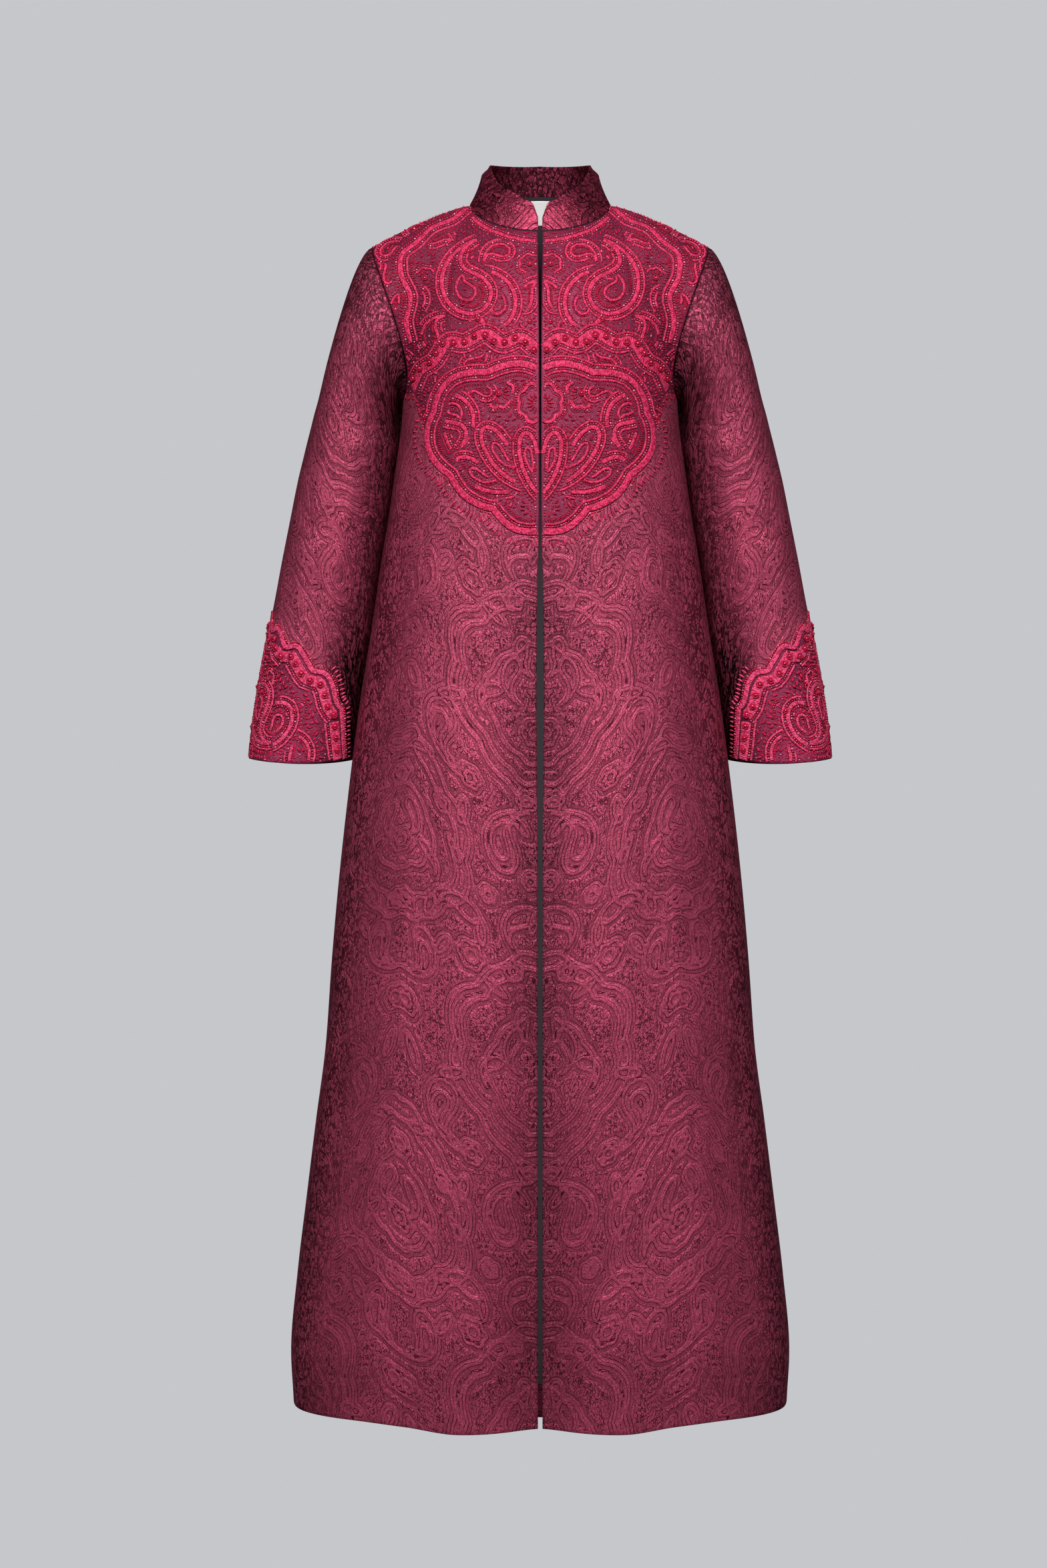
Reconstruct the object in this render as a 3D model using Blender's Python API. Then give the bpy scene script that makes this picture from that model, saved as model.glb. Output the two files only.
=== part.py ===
"""Floor-length open abaya with a stand collar, set-in sleeves and raised embroidery.

Metres, +Z up, the front faces -Y. The origin is the middle of the neckline at the
height of the two shoulder neck points, where the wearer carries the garment.
Every piece is one wall of cloth: an outer face worked out from the sizes below,
and an inner face one wall thickness behind it.
"""

import bisect
import functools
import math

import bmesh
import bpy
from mathutils import Vector

# Walls and clearances
CLOTH_WALL = 0.0020
COLLAR_WALL = 0.0024
LINING_WALL = 0.0010
LABEL_WALL = 0.0010
SEAM_GAP = 0.0003
SLEEVE_SEAM_GAP = 0.0006
SLEEVE_TUCK = 0.0010

# Neckline and shoulders
NECK_HALF_WIDTH = 0.0844
NECK_FRONT_DEPTH = 0.080
NECK_BACK_DEPTH = 0.068
NECK_FRONT_DROP = 0.042
NECK_BACK_RISE = 0.0215
SHOULDER_HALF_WIDTH = 0.2004
SHOULDER_DROP = 0.0496
SHOULDER_SAG = 1.30
UNDERARM_HEIGHT = -0.235

# Body rings from the underarm to the hem, straight down the side seam
BODY_COLUMNS = ("height", "half_width", "front_depth", "back_depth", "valley", "back_flute")
BODY_RINGS = (
    (-0.235, 0.1638, 0.132, 0.112, 0.000, 0.000),
    (-0.270, 0.1668, 0.134, 0.113, 0.000, 0.000),
    (-0.316, 0.1732, 0.135, 0.112, 0.000, 0.000),
    (-0.367, 0.1804, 0.136, 0.110, 0.000, 0.000),
    (-0.423, 0.1896, 0.137, 0.109, 0.001, 0.000),
    (-0.506, 0.2016, 0.140, 0.110, 0.003, 0.001),
    (-0.594, 0.2156, 0.143, 0.114, 0.005, 0.002),
    (-0.714, 0.2308, 0.147, 0.120, 0.008, 0.004),
    (-0.810, 0.2412, 0.151, 0.125, 0.011, 0.005),
    (-0.906, 0.2496, 0.155, 0.130, 0.014, 0.006),
    (-1.002, 0.2564, 0.159, 0.135, 0.018, 0.007),
    (-1.098, 0.2684, 0.163, 0.140, 0.021, 0.008),
    (-1.194, 0.2796, 0.167, 0.145, 0.024, 0.009),
    (-1.290, 0.2904, 0.170, 0.149, 0.026, 0.010),
    (-1.386, 0.2980, 0.173, 0.153, 0.028, 0.010),
    (-1.442, 0.2950, 0.174, 0.155, 0.029, 0.010),
)
SECTION_ROUNDNESS = 2.25
VALLEY_WIDTH = 0.050
BACK_FLUTES = 3.5
FLUTE_FADE = 2.0

# Opening down the centre front: full width of the gap between the two edges
GAP_COLUMNS = ("height", "width")
FRONT_GAP = (
    (-0.020, 0.0068),
    (-0.060, 0.0056),
    (-0.110, 0.0036),
    (-0.230, 0.0022),
    (-0.370, 0.0022),
    (-0.430, 0.0044),
    (-0.480, 0.0068),
    (-0.580, 0.0086),
    (-0.670, 0.0074),
    (-0.760, 0.0056),
    (-1.442, 0.0052),
)
GAP_SHARE = 0.25

# Rise of the hem above its lowest line, by share of the way from centre to side seam
HEM_HEIGHT = -1.444
HEM_BLEND_HEIGHT = 0.45
HEM_COLUMNS = ("share", "front", "back")
HEM_RISE = (
    (0.00, 0.0035, -0.0350),
    (0.12, 0.0010, -0.0345),
    (0.25, 0.0000, -0.0310),
    (0.42, 0.0070, -0.0240),
    (0.60, 0.0105, -0.0140),
    (0.80, 0.0110, -0.0020),
    (0.90, 0.0120, 0.0060),
    (1.00, 0.0190, 0.0190),
)

# Handles of the curves that run from neckline, shoulder and armhole to the underarm ring
DRAPE_COLUMNS = ("share", "top_x", "top_y", "top_z", "low_x", "low_y", "low_z")
FRONT_DRAPE = (
    (0.00, 0.000, -0.026, -0.052, 0.000, -0.002, 0.080),
    (0.25, 0.008, -0.040, -0.036, 0.000, -0.001, 0.080),
    (0.40, 0.018, -0.052, -0.026, 0.000, 0.000, 0.085),
    (0.50, 0.018, -0.068, -0.018, 0.001, 0.000, 0.092),
    (0.62, 0.008, -0.076, -0.014, -0.001, 0.000, 0.096),
    (0.80, 0.003, -0.078, -0.012, -0.009, -0.020, 0.070),
    (1.00, 0.008, -0.075, -0.010, -0.0270, -0.078, 0.032),
)
BACK_DRAPE = (
    (0.00, 0.000, 0.026, -0.058, 0.000, 0.002, 0.080),
    (0.25, 0.006, 0.036, -0.044, 0.000, 0.002, 0.080),
    (0.40, 0.014, 0.046, -0.030, 0.000, 0.000, 0.085),
    (0.50, 0.016, 0.060, -0.020, 0.001, 0.000, 0.092),
    (0.62, 0.008, 0.072, -0.015, -0.001, 0.000, 0.096),
    (0.80, 0.002, 0.076, -0.012, -0.003, 0.018, 0.070),
    (1.00, 0.000, 0.076, -0.010, -0.0060, 0.078, 0.032),
)
NECK_SHARE = 0.5

# Sleeve sections at level heights: outer edge, middle of the depth, half depth
SLEEVE_COLUMNS = ("height", "outer_x", "middle_y", "half_depth")
SLEEVE_RINGS = (
    (-0.290, 0.2826, 0.030, 0.080),
    (-0.3296, 0.2922, 0.031, 0.079),
    (-0.3776, 0.3018, 0.032, 0.078),
    (-0.4256, 0.3114, 0.034, 0.077),
    (-0.4736, 0.3204, 0.036, 0.076),
    (-0.5216, 0.3304, 0.037, 0.075),
    (-0.5696, 0.3392, 0.038, 0.074),
    (-0.6176, 0.3466, 0.039, 0.073),
    (-0.6616, 0.3516, 0.040, 0.072),
)
SLEEVE_ROUNDNESS = 2.35
CUFF_DIP = 0.0062

# Handles of the curves that run from the armhole over the sleeve head
HEAD_COLUMNS = ("turn", "top_x", "top_y", "top_z", "low_x", "low_y", "low_z")
SLEEVE_HEAD = (
    (0.00, 0.007, 0.014, -0.010, 0.000, -0.006, 0.020),
    (0.04, 0.020, 0.008, -0.010, 0.002, -0.003, 0.022),
    (0.12, 0.024, -0.006, -0.014, 0.000, 0.004, 0.032),
    (0.25, 0.030, -0.012, -0.030, 0.000, 0.006, 0.060),
    (0.38, 0.028, -0.012, -0.022, -0.012, 0.004, 0.085),
    (0.50, 0.0245, 0.000, -0.0104, -0.0260, 0.000, 0.096),
    (0.62, 0.028, 0.012, -0.022, -0.012, -0.004, 0.085),
    (0.75, 0.030, 0.012, -0.030, 0.000, -0.006, 0.060),
    (0.88, 0.024, 0.006, -0.014, 0.000, -0.004, 0.032),
    (0.96, 0.016, 0.012, -0.010, 0.000, -0.004, 0.023),
    (1.00, 0.007, 0.014, -0.010, 0.000, -0.006, 0.020),
)

# Stand collar: its top edge by turn, from -90 degrees at the centre front to 90 at the back
COLLAR_COLUMNS = ("angle", "top_height")
COLLAR_TOP = (
    (-90.0, -0.0085),
    (-77.0, -0.0070),
    (-60.0, 0.0040),
    (-36.0, 0.0180),
    (-18.0, 0.0340),
    (0.0, 0.0465),
    (40.0, 0.0520),
    (90.0, 0.0550),
)
COLLAR_TOP_HALF_WIDTH = 0.0688
COLLAR_TOP_FRONT = 0.0775
COLLAR_TOP_BACK = 0.0620
COLLAR_CURL = 0.0080
COLLAR_CURL_SHARE = 0.25
COLLAR_GAP_HEIGHT = -0.030
COLLAR_SPACING = 1.25
COLLAR_HOLLOW = 1.7
COLLAR_CORNER = 0.018
COLLAR_LIFT = 0.0009
COLLAR_DROP_POWER = 1.15

# Lining inside the back, and the plain woven label on it
LINING_HEM_LIFT = 0.008
LABEL_TOP_LEVEL = 0.026
LABEL_BOTTOM_LEVEL = 0.165

# Lower edge of the yoke embroidery, seen from the front: distance from the centre, height
YOKE_COLUMNS = ("across", "height")
YOKE_EDGE = (
    (0.000, -0.410),
    (0.042, -0.392),
    (0.076, -0.370),
    (0.108, -0.341),
    (0.126, -0.318),
    (0.136, -0.288),
    (0.141, -0.258),
    (0.150, -0.240),
    (0.180, -0.238),
)
# Upper edge of the cuff embroidery by turn from the outer edge, in degrees
CUFF_COLUMNS = ("degrees", "height")
CUFF_EDGE = (
    (0.0, -0.484),
    (40.0, -0.506),
    (80.0, -0.534),
    (96.0, -0.553),
    (117.0, -0.577),
    (132.0, -0.604),
    (142.0, -0.650),
    (160.0, -0.700),
    (180.0, -0.720),
)
EMBROIDERY_GROUND = 0.0006
GROUND_FADE = 0.004
SLOPE_STEP = 0.004
EMBROIDERY_BORDER = 0.0012
BORDER_WIDTH = 0.030
SWIRL_HEIGHT = 0.0012
EDGE_FADE = 0.09
SWIRL_COLUMNS = ("across", "height", "radius")
YOKE_SWIRLS = (
    (0.060, -0.100, 0.030),
    (0.118, -0.085, 0.028),
    (0.165, -0.070, 0.022),
    (0.146, -0.150, 0.022),
    (0.088, -0.168, 0.026),
    (0.034, -0.270, 0.026),
    (0.086, -0.285, 0.022),
)

# Mesh counts: across, rows above the underarm, rows in the embroidered part, rows below.
# The sleeve has columns round it, rows over its head and rows down to the cuff.
FRONT_COUNTS = (16, 12, 9, 16)
BACK_COUNTS = (24, 12, 3, 11)
SLEEVE_COUNTS = (24, 7, 17)
COLLAR_COUNTS = (44, 5)
FINE_ROWS_END = -0.42
SECTION_STEPS = 160
SHARE_STEP = 0.001
MERGE_DISTANCE = 0.00001

# Colours: base colour, roughness
WINE = ((0.19, 0.018, 0.035, 1.0), 0.55)
WINE_COLLAR = ((0.27, 0.018, 0.048, 1.0), 0.50)
CHARCOAL = ((0.022, 0.021, 0.025, 1.0), 0.60)
WHITE = ((0.80, 0.80, 0.79, 1.0), 0.70)


def read_table(columns, table, name, key):
    """Value of one named column at key, on a smooth curve through the table's rows."""
    column = columns.index(name)
    keys = [row[0] for row in table]
    values = [row[column] for row in table]
    if keys[0] > keys[-1]:
        keys = [-k for k in keys]
        key = -key
    if key <= keys[0]:
        return values[0]
    if key >= keys[-1]:
        return values[-1]
    low = bisect.bisect_right(keys, key) - 1
    span = keys[low + 1] - keys[low]
    share = (key - keys[low]) / span

    def slope(at):
        if at == 0 or at == len(keys) - 1:
            return 0.0 if len(keys) > 2 else (values[1] - values[0]) / span
        before = (values[at] - values[at - 1]) / (keys[at] - keys[at - 1])
        after = (values[at + 1] - values[at]) / (keys[at + 1] - keys[at])
        if before * after <= 0.0:
            return 0.0
        return 2.0 * before * after / (before + after)

    if low == 0:
        first = (values[1] - values[0]) / span
    else:
        first = slope(low)
    if low == len(keys) - 2:
        last = (values[-1] - values[-2]) / span
    else:
        last = slope(low + 1)
    square = share * share
    cube = square * share
    return (
        values[low] * (2 * cube - 3 * square + 1)
        + first * span * (cube - 2 * square + share)
        + values[low + 1] * (3 * square - 2 * cube)
        + last * span * (cube - square)
    )


def smooth_step(value):
    """Soft change from 0 to 1 while value goes from 0 to 1."""
    value = min(max(value, 0.0), 1.0)
    return value * value * (3.0 - 2.0 * value)


def bezier(start, first, second, end, share):
    """Point on a cubic curve with its four control points."""
    rest = 1.0 - share
    return (
        start * rest**3
        + first * (3.0 * rest**2 * share)
        + second * (3.0 * rest * share**2)
        + end * share**3
    )


def half_gap(height):
    """Half the width of the opening between the two front edges."""
    return 0.5 * read_table(GAP_COLUMNS, FRONT_GAP, "width", height)


def neck_seam(angle):
    """Point of the neck seam at an angle from -90, centre front, to 90, centre back."""
    turn = math.radians(angle)
    sine = math.sin(turn)
    if angle < 0.0:
        depth = NECK_FRONT_DEPTH
        height = -NECK_FRONT_DROP * abs(sine) ** COLLAR_DROP_POWER
    else:
        depth = NECK_BACK_DEPTH
        height = NECK_BACK_RISE * sine * sine
    return Vector((NECK_HALF_WIDTH * math.cos(turn), depth * sine, height))


def shoulder_seam(share):
    """Point of the shoulder seam from the neck point, 0, to the sleeve head, 1."""
    across = NECK_HALF_WIDTH + share * (SHOULDER_HALF_WIDTH - NECK_HALF_WIDTH)
    return Vector((across, 0.0, -SHOULDER_DROP * share**SHOULDER_SAG))


@functools.lru_cache(maxsize=None)
def body_section(facing, height):
    """Even steps along one quarter of the level body section: lengths and points.

    facing is -1 for the front and 1 for the back.
    """
    half_width = read_table(BODY_COLUMNS, BODY_RINGS, "half_width", height)
    name = "front_depth" if facing < 0 else "back_depth"
    depth = read_table(BODY_COLUMNS, BODY_RINGS, name, height)
    valley = read_table(BODY_COLUMNS, BODY_RINGS, "valley", height)
    flute = read_table(BODY_COLUMNS, BODY_RINGS, "back_flute", height)
    inner = half_gap(height) if facing < 0 else 0.0
    power = 2.0 / SECTION_ROUNDNESS
    first_angle = math.asin((inner / half_width) ** (1.0 / power))
    lengths = []
    points = []
    for step in range(SECTION_STEPS + 1):
        angle = first_angle + (math.pi / 2 - first_angle) * step / SECTION_STEPS
        across = half_width * math.sin(angle) ** power
        cosine = max(math.cos(angle), 0.0)
        out = depth * cosine**power
        if facing < 0:
            out -= valley * math.exp(-((across / VALLEY_WIDTH) ** 2))
        else:
            wave = math.cos(math.pi * BACK_FLUTES * across / half_width)
            out += flute * wave * smooth_step(FLUTE_FADE * cosine)
        point = (across, facing * out)
        if points:
            lengths.append(lengths[-1] + math.dist(points[-1], point))
        else:
            lengths.append(0.0)
        points.append(point)
    return lengths, points


def body_ring(facing, share, height):
    """Point of the level section at a share of its length from centre to side seam."""
    lengths, points = body_section(facing, round(height, 6))
    target = min(max(share, 0.0), 1.0) * lengths[-1]
    high = min(max(bisect.bisect_left(lengths, target), 1), len(lengths) - 1)
    part = (target - lengths[high - 1]) / (lengths[high] - lengths[high - 1])
    across = points[high - 1][0] + part * (points[high][0] - points[high - 1][0])
    deep = points[high - 1][1] + part * (points[high][1] - points[high - 1][1])
    return Vector((across, deep, height))


def hem_height(facing, share, level):
    """Height of a body row that starts level and ends on the shaped hem."""
    name = "front" if facing < 0 else "back"
    rise = read_table(HEM_COLUMNS, HEM_RISE, name, share)
    weight = smooth_step((HEM_HEIGHT + HEM_BLEND_HEIGHT - level) / HEM_BLEND_HEIGHT)
    return level + rise * weight


def body_point(facing, share, level):
    """Point of the body's right half.

    level runs from 0 at the neckline and shoulder to 1 at the underarm ring,
    and on to 2 at the hem.
    """
    if level >= 1.0:
        height = UNDERARM_HEIGHT + (level - 1.0) * (HEM_HEIGHT - UNDERARM_HEIGHT)
        point = body_ring(facing, share, height)
        point.z = hem_height(facing, share, height)
        return point
    if share < NECK_SHARE:
        angle = 90.0 * (1.0 - share / NECK_SHARE)
        top = neck_seam(facing * angle)
    else:
        top = shoulder_seam((share - NECK_SHARE) / (1.0 - NECK_SHARE))
    drape = FRONT_DRAPE if facing < 0 else BACK_DRAPE

    def handle(part):
        return Vector([read_table(DRAPE_COLUMNS, drape, part + axis, share) for axis in "xyz"])

    low = body_ring(facing, share, UNDERARM_HEIGHT)
    top_handle = handle("top_")
    low_handle = handle("low_")
    point = bezier(top, top + top_handle, low + low_handle, low, level)
    if facing < 0:
        edge = half_gap(point.z)
        reach = smooth_step(1.0 - share / GAP_SHARE)
        point.x += (edge - plain_edge_x(level)) * reach
    return point


@functools.lru_cache(maxsize=None)
def plain_edge_x(level):
    """Across position of the plain centre-front curve before the gap is set."""
    low = body_ring(-1, 0.0, UNDERARM_HEIGHT)
    return bezier(0.0, 0.0, low.x, low.x, level)


def armhole(facing, share):
    """Point of the armhole from the shoulder, 0, to the underarm, 1."""
    return body_point(facing, 1.0, share)


def sleeve_ring(turn, height):
    """Point of a level sleeve section; turn 0 is the inner side, 0.25 the front."""
    outer = read_table(SLEEVE_COLUMNS, SLEEVE_RINGS, "outer_x", height)
    middle_y = read_table(SLEEVE_COLUMNS, SLEEVE_RINGS, "middle_y", height)
    half_depth = read_table(SLEEVE_COLUMNS, SLEEVE_RINGS, "half_depth", height)
    body = read_table(BODY_COLUMNS, BODY_RINGS, "half_width", height)
    inner = body - SLEEVE_TUCK
    middle_x = 0.5 * (inner + outer)
    half_width = 0.5 * (outer - inner)
    angle = 2.0 * math.pi * turn
    power = 2.0 / SLEEVE_ROUNDNESS
    cosine = math.cos(angle)
    sine = math.sin(angle)
    across = middle_x - half_width * math.copysign(abs(cosine) ** power, cosine)
    deep = middle_y - half_depth * math.copysign(abs(sine) ** power, sine)
    return Vector((across, deep, height))


def sleeve_point(turn, level):
    """Point of the right sleeve: level 0 at the armhole, 1 below the head, 2 at the cuff."""
    first_height = SLEEVE_RINGS[0][0]
    last_height = SLEEVE_RINGS[-1][0]
    if level >= 1.0:
        height = first_height + (level - 1.0) * (last_height - first_height)
        point = sleeve_ring(turn, height)
        dip = CUFF_DIP * math.sin(2.0 * math.pi * turn) ** 2
        lower_half = 2.0 * (level - 1.0) - 1.0
        point.z -= dip * smooth_step(lower_half)
        return point
    if turn <= 0.5:
        top = armhole(-1, 1.0 - 2.0 * turn)
    else:
        top = armhole(1, 2.0 * turn - 1.0)

    def handle(part):
        return Vector([read_table(HEAD_COLUMNS, SLEEVE_HEAD, part + axis, turn) for axis in "xyz"])

    top_handle = handle("top_")
    top = top + top_handle.normalized() * SLEEVE_SEAM_GAP
    low = sleeve_ring(turn, first_height)
    return bezier(top, top + top_handle, low + handle("low_"), low, level)


def collar_point(side, level):
    """Point of the collar; side runs from -1 round the back to 1, level from seam to top."""
    edge = half_gap(COLLAR_GAP_HEIGHT)
    start = -90.0 + math.degrees(edge / NECK_HALF_WIDTH)
    angle = start + (90.0 - start) * (1.0 - abs(side) ** COLLAR_SPACING)
    seam = neck_seam(angle)
    turn = math.radians(angle)
    sine = math.sin(turn)
    depth = COLLAR_TOP_FRONT if angle < 0.0 else COLLAR_TOP_BACK
    top_height = read_table(COLLAR_COLUMNS, COLLAR_TOP, "top_height", angle)
    from_edge = seam.x - edge
    if angle < 0.0 and from_edge < COLLAR_CORNER:
        left = COLLAR_CORNER - from_edge
        top_height -= COLLAR_CORNER - math.sqrt(max(COLLAR_CORNER**2 - left**2, 0.0))
    top = Vector((COLLAR_TOP_HALF_WIDTH * math.cos(turn), depth * sine, top_height))
    curl = COLLAR_CURL * math.cos(turn) ** 2 * smooth_step(1.0 - (1.0 - level) / COLLAR_CURL_SHARE)
    point = seam.lerp(top, level)
    point.x += (top.x - seam.x) * (1.0 - (1.0 - level) ** COLLAR_HOLLOW - level)
    point.x -= curl
    point.z += COLLAR_LIFT
    if side < 0.0:
        point.x = -point.x
    return point


def normal_of(surface, first, second, limits, hand):
    """Outward direction of a surface, from steps inside its limits.

    hand is 1 where the first share crossed with the second points outwards, else -1.
    """
    low_first, high_first, low_second, high_second = limits
    before = surface(max(first - SHARE_STEP, low_first), second)
    after = surface(min(first + SHARE_STEP, high_first), second)
    above = surface(first, max(second - SHARE_STEP, low_second))
    below = surface(first, min(second + SHARE_STEP, high_second))
    return (after - before).cross(below - above).normalized() * hand


def edge_distance(point):
    """Distance inside the lower edge of the yoke embroidery, negative outside it."""
    across = abs(point.x)
    straight = point.z - read_table(YOKE_COLUMNS, YOKE_EDGE, "height", across)
    rise = read_table(YOKE_COLUMNS, YOKE_EDGE, "height", across + SLOPE_STEP)
    rise -= read_table(YOKE_COLUMNS, YOKE_EDGE, "height", across - SLOPE_STEP)
    slope = rise / (2.0 * SLOPE_STEP)
    return straight / math.sqrt(1.0 + slope * slope)


def raised(inside):
    """Height of embroidery at a distance inside its edge: a border band on a low ground."""
    if inside <= 0.0:
        return 0.0
    ground = EMBROIDERY_GROUND * smooth_step(inside / GROUND_FADE)
    band = math.sin(math.pi * min(inside / BORDER_WIDTH, 1.0))
    return ground + EMBROIDERY_BORDER * band


def yoke_relief(point, share, level):
    """Height of the yoke embroidery above the plain front, falling to nothing at the seams."""
    inside = edge_distance(point)
    if point.z > UNDERARM_HEIGHT:
        inside = BORDER_WIDTH
    height = raised(inside)
    for row in YOKE_SWIRLS:
        swirl = dict(zip(SWIRL_COLUMNS, row))
        away = math.hypot(abs(point.x) - swirl["across"], point.z - swirl["height"])
        if away < swirl["radius"]:
            height += SWIRL_HEIGHT * 0.5 * (1.0 + math.cos(math.pi * away / swirl["radius"]))
    to_armhole = smooth_step((1.0 - share) / EDGE_FADE)
    to_neckline = smooth_step(level / EDGE_FADE)
    return height * to_armhole * to_neckline


def cuff_relief(point, turn, level):
    """Height of the cuff embroidery above the plain sleeve, none above the straight part."""
    if level < 1.0:
        return 0.0
    degrees = abs(turn - 0.5) * 360.0
    inside = read_table(CUFF_COLUMNS, CUFF_EDGE, "height", degrees) - point.z
    return raised(inside)


def cloth_wall(name, finish, surface, hand, limits, columns, rows, wall, relief=None, behind=0.0):
    """One closed wall of cloth over a surface of two shares, columns by rows.

    rows lists the second share of each row of points. The plain inner face lies behind
    the surface by the wall's thickness, and relief lifts the outer face alone. behind
    sets the whole wall further in.
    """
    low_first, high_first = limits
    edges = (low_first, high_first, min(rows), max(rows))
    mesh = bpy.data.meshes.new(name)
    shell = bmesh.new()
    bmesh.ops.create_grid(shell, x_segments=columns, y_segments=len(rows) - 1, size=0.5)
    first_share = shell.verts.layers.float.new("first_share")
    second_share = shell.verts.layers.float.new("second_share")
    for corner in shell.verts:
        first = low_first + (corner.co.x + 0.5) * (high_first - low_first)
        second = rows[round((0.5 - corner.co.y) * (len(rows) - 1))]
        corner[first_share] = first
        corner[second_share] = second
        corner.co = surface(first, second)
    bmesh.ops.remove_doubles(shell, verts=shell.verts[:], dist=MERGE_DISTANCE)
    outer = set(shell.verts)
    bmesh.ops.extrude_face_region(shell, geom=shell.faces[:], use_keep_orig=True)
    for corner in shell.verts:
        first = corner[first_share]
        second = corner[second_share]
        point = surface(first, second)
        normal = normal_of(surface, first, second, edges, hand)
        if abs(point.y) < SEAM_GAP:
            normal = Vector((normal.x, 0.0, normal.z)).normalized()
        if corner in outer:
            out = relief(point, first, second) if relief else 0.0
            corner.co = point + normal * (out - behind)
        else:
            corner.co = point - normal * (wall + behind)
    bmesh.ops.recalc_face_normals(shell, faces=shell.faces[:])
    shell.to_mesh(mesh)
    shell.free()
    mesh.shade_smooth()
    piece = bpy.data.objects.new(name, mesh)
    piece.data.materials.append(finish)
    return piece


def plain_finish(name, look):
    """A plain material of one colour and roughness."""
    colour, roughness = look
    finish = bpy.data.materials.new(name)
    finish.use_nodes = True
    shader = finish.node_tree.nodes["Principled BSDF"]
    shader.inputs["Base Color"].default_value = colour
    shader.inputs["Roughness"].default_value = roughness
    return finish


def body_rows(counts):
    """Row levels: evenly above the underarm, close through the embroidery, wide below."""
    upper, fine, lower = counts[1:]
    reach = HEM_HEIGHT - UNDERARM_HEIGHT
    fine_end = 1.0 + (FINE_ROWS_END - UNDERARM_HEIGHT) / reach
    levels = [row / upper for row in range(upper)]
    levels += [1.0 + (fine_end - 1.0) * row / fine for row in range(fine)]
    levels += [fine_end + (2.0 - fine_end) * row / lower for row in range(lower + 1)]
    return levels


def front(name, side, finish):
    """One front, from centre edge to side seam, with the raised yoke embroidery."""
    levels = body_rows(FRONT_COUNTS)

    def surface(share, level):
        point = body_point(-1, share, level)
        point.y -= 0.5 * SEAM_GAP
        if side < 0:
            point.x = -point.x
        return point

    limits = (0.0, 1.0)
    columns = FRONT_COUNTS[0]
    return cloth_wall(name, finish, surface, -side, limits, columns, levels, CLOTH_WALL, yoke_relief)


def back_surface(share, level):
    """Point of the back, with share from -1 at the left side seam to 1 at the right."""
    point = body_point(1, abs(share), level)
    point.y += 0.5 * SEAM_GAP
    if share < 0.0:
        point.x = -point.x
    return point


def back_rows():
    """Row levels of the back, with rows at the label's two ends and at the lining's hem."""
    lining_hem = 2.0 - LINING_HEM_LIFT / (UNDERARM_HEIGHT - HEM_HEIGHT)
    return sorted(body_rows(BACK_COUNTS) + [LABEL_TOP_LEVEL, LABEL_BOTTOM_LEVEL, lining_hem])


def back(finish):
    """The whole back in one piece."""
    limits = (-1.0, 1.0)
    columns = BACK_COUNTS[0]
    return cloth_wall("back", finish, back_surface, 1, limits, columns, back_rows(), CLOTH_WALL)


def back_lining(finish):
    """The dark lining of the back, which shows in the neck and through the opening."""
    levels = back_rows()[:-1]
    reach = 1.0 - 2.0 / BACK_COUNTS[0]
    behind = CLOTH_WALL + SEAM_GAP
    return cloth_wall(
        "back_lining",
        finish,
        back_surface,
        1,
        (-reach, reach),
        BACK_COUNTS[0] - 2,
        levels,
        LINING_WALL,
        behind=behind,
    )


def label(finish):
    """A plain woven label on the lining at the centre back, with nothing on it."""
    levels = [row for row in back_rows() if LABEL_TOP_LEVEL <= row <= LABEL_BOTTOM_LEVEL]
    reach = 2.0 / BACK_COUNTS[0]
    behind = CLOTH_WALL + LINING_WALL + 2.0 * SEAM_GAP
    return cloth_wall(
        "label", finish, back_surface, 1, (-reach, reach), 2, levels, LABEL_WALL, behind=behind
    )


def sleeve(name, side, finish):
    """One set-in sleeve, closed round the arm, with the raised cuff embroidery."""
    around, head, straight = SLEEVE_COUNTS
    levels = [row / head for row in range(head)]
    levels += [1.0 + row / straight for row in range(straight + 1)]

    def surface(turn, level):
        point = sleeve_point(turn, level)
        if side < 0:
            point.x = -point.x
        return point

    limits = (0.0, 1.0)
    return cloth_wall(name, finish, surface, -side, limits, around, levels, CLOTH_WALL, cuff_relief)


def collar(finish):
    """The stand collar, open at the centre front with rounded upper corners."""
    columns, rows = COLLAR_COUNTS
    levels = [1.0 - row / rows for row in range(rows + 1)]
    limits = (-1.0, 1.0)
    return cloth_wall("collar", finish, collar_point, -1, limits, columns, levels, COLLAR_WALL)


def main():
    """Clear the scene and build every piece into one collection."""
    for old in list(bpy.data.objects):
        bpy.data.objects.remove(old, do_unlink=True)
    group = bpy.data.collections.new("abaya")
    bpy.context.scene.collection.children.link(group)
    wine = plain_finish("wine_jacquard", WINE)
    wine_collar = plain_finish("wine_jacquard_collar", WINE_COLLAR)
    charcoal = plain_finish("charcoal_lining", CHARCOAL)
    white = plain_finish("white_label", WHITE)
    pieces = [
        front("front_left", 1, wine),
        front("front_right", -1, wine),
        back(wine),
        sleeve("sleeve_left", 1, wine),
        sleeve("sleeve_right", -1, wine),
        collar(wine_collar),
        back_lining(charcoal),
        label(white),
    ]
    for piece in pieces:
        group.objects.link(piece)


main()
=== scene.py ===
"""Looks of a floor-length wine jacquard abaya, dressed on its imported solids.

Metres, +Z up, the front faces -Y. Each cut piece is one fine sheet on the form of its
solid, with its edges turned in. The cloth's pattern is a mirrored repeat of paisleys,
medallions and rosettes with echo lines. The yoke and cuffs carry raised embroidery.
"""

import bisect
import functools
import itertools
import math
import random

import bmesh
import bpy
import numpy as np
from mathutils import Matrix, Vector, kdtree
from mathutils.bvhtree import BVHTree


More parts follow.
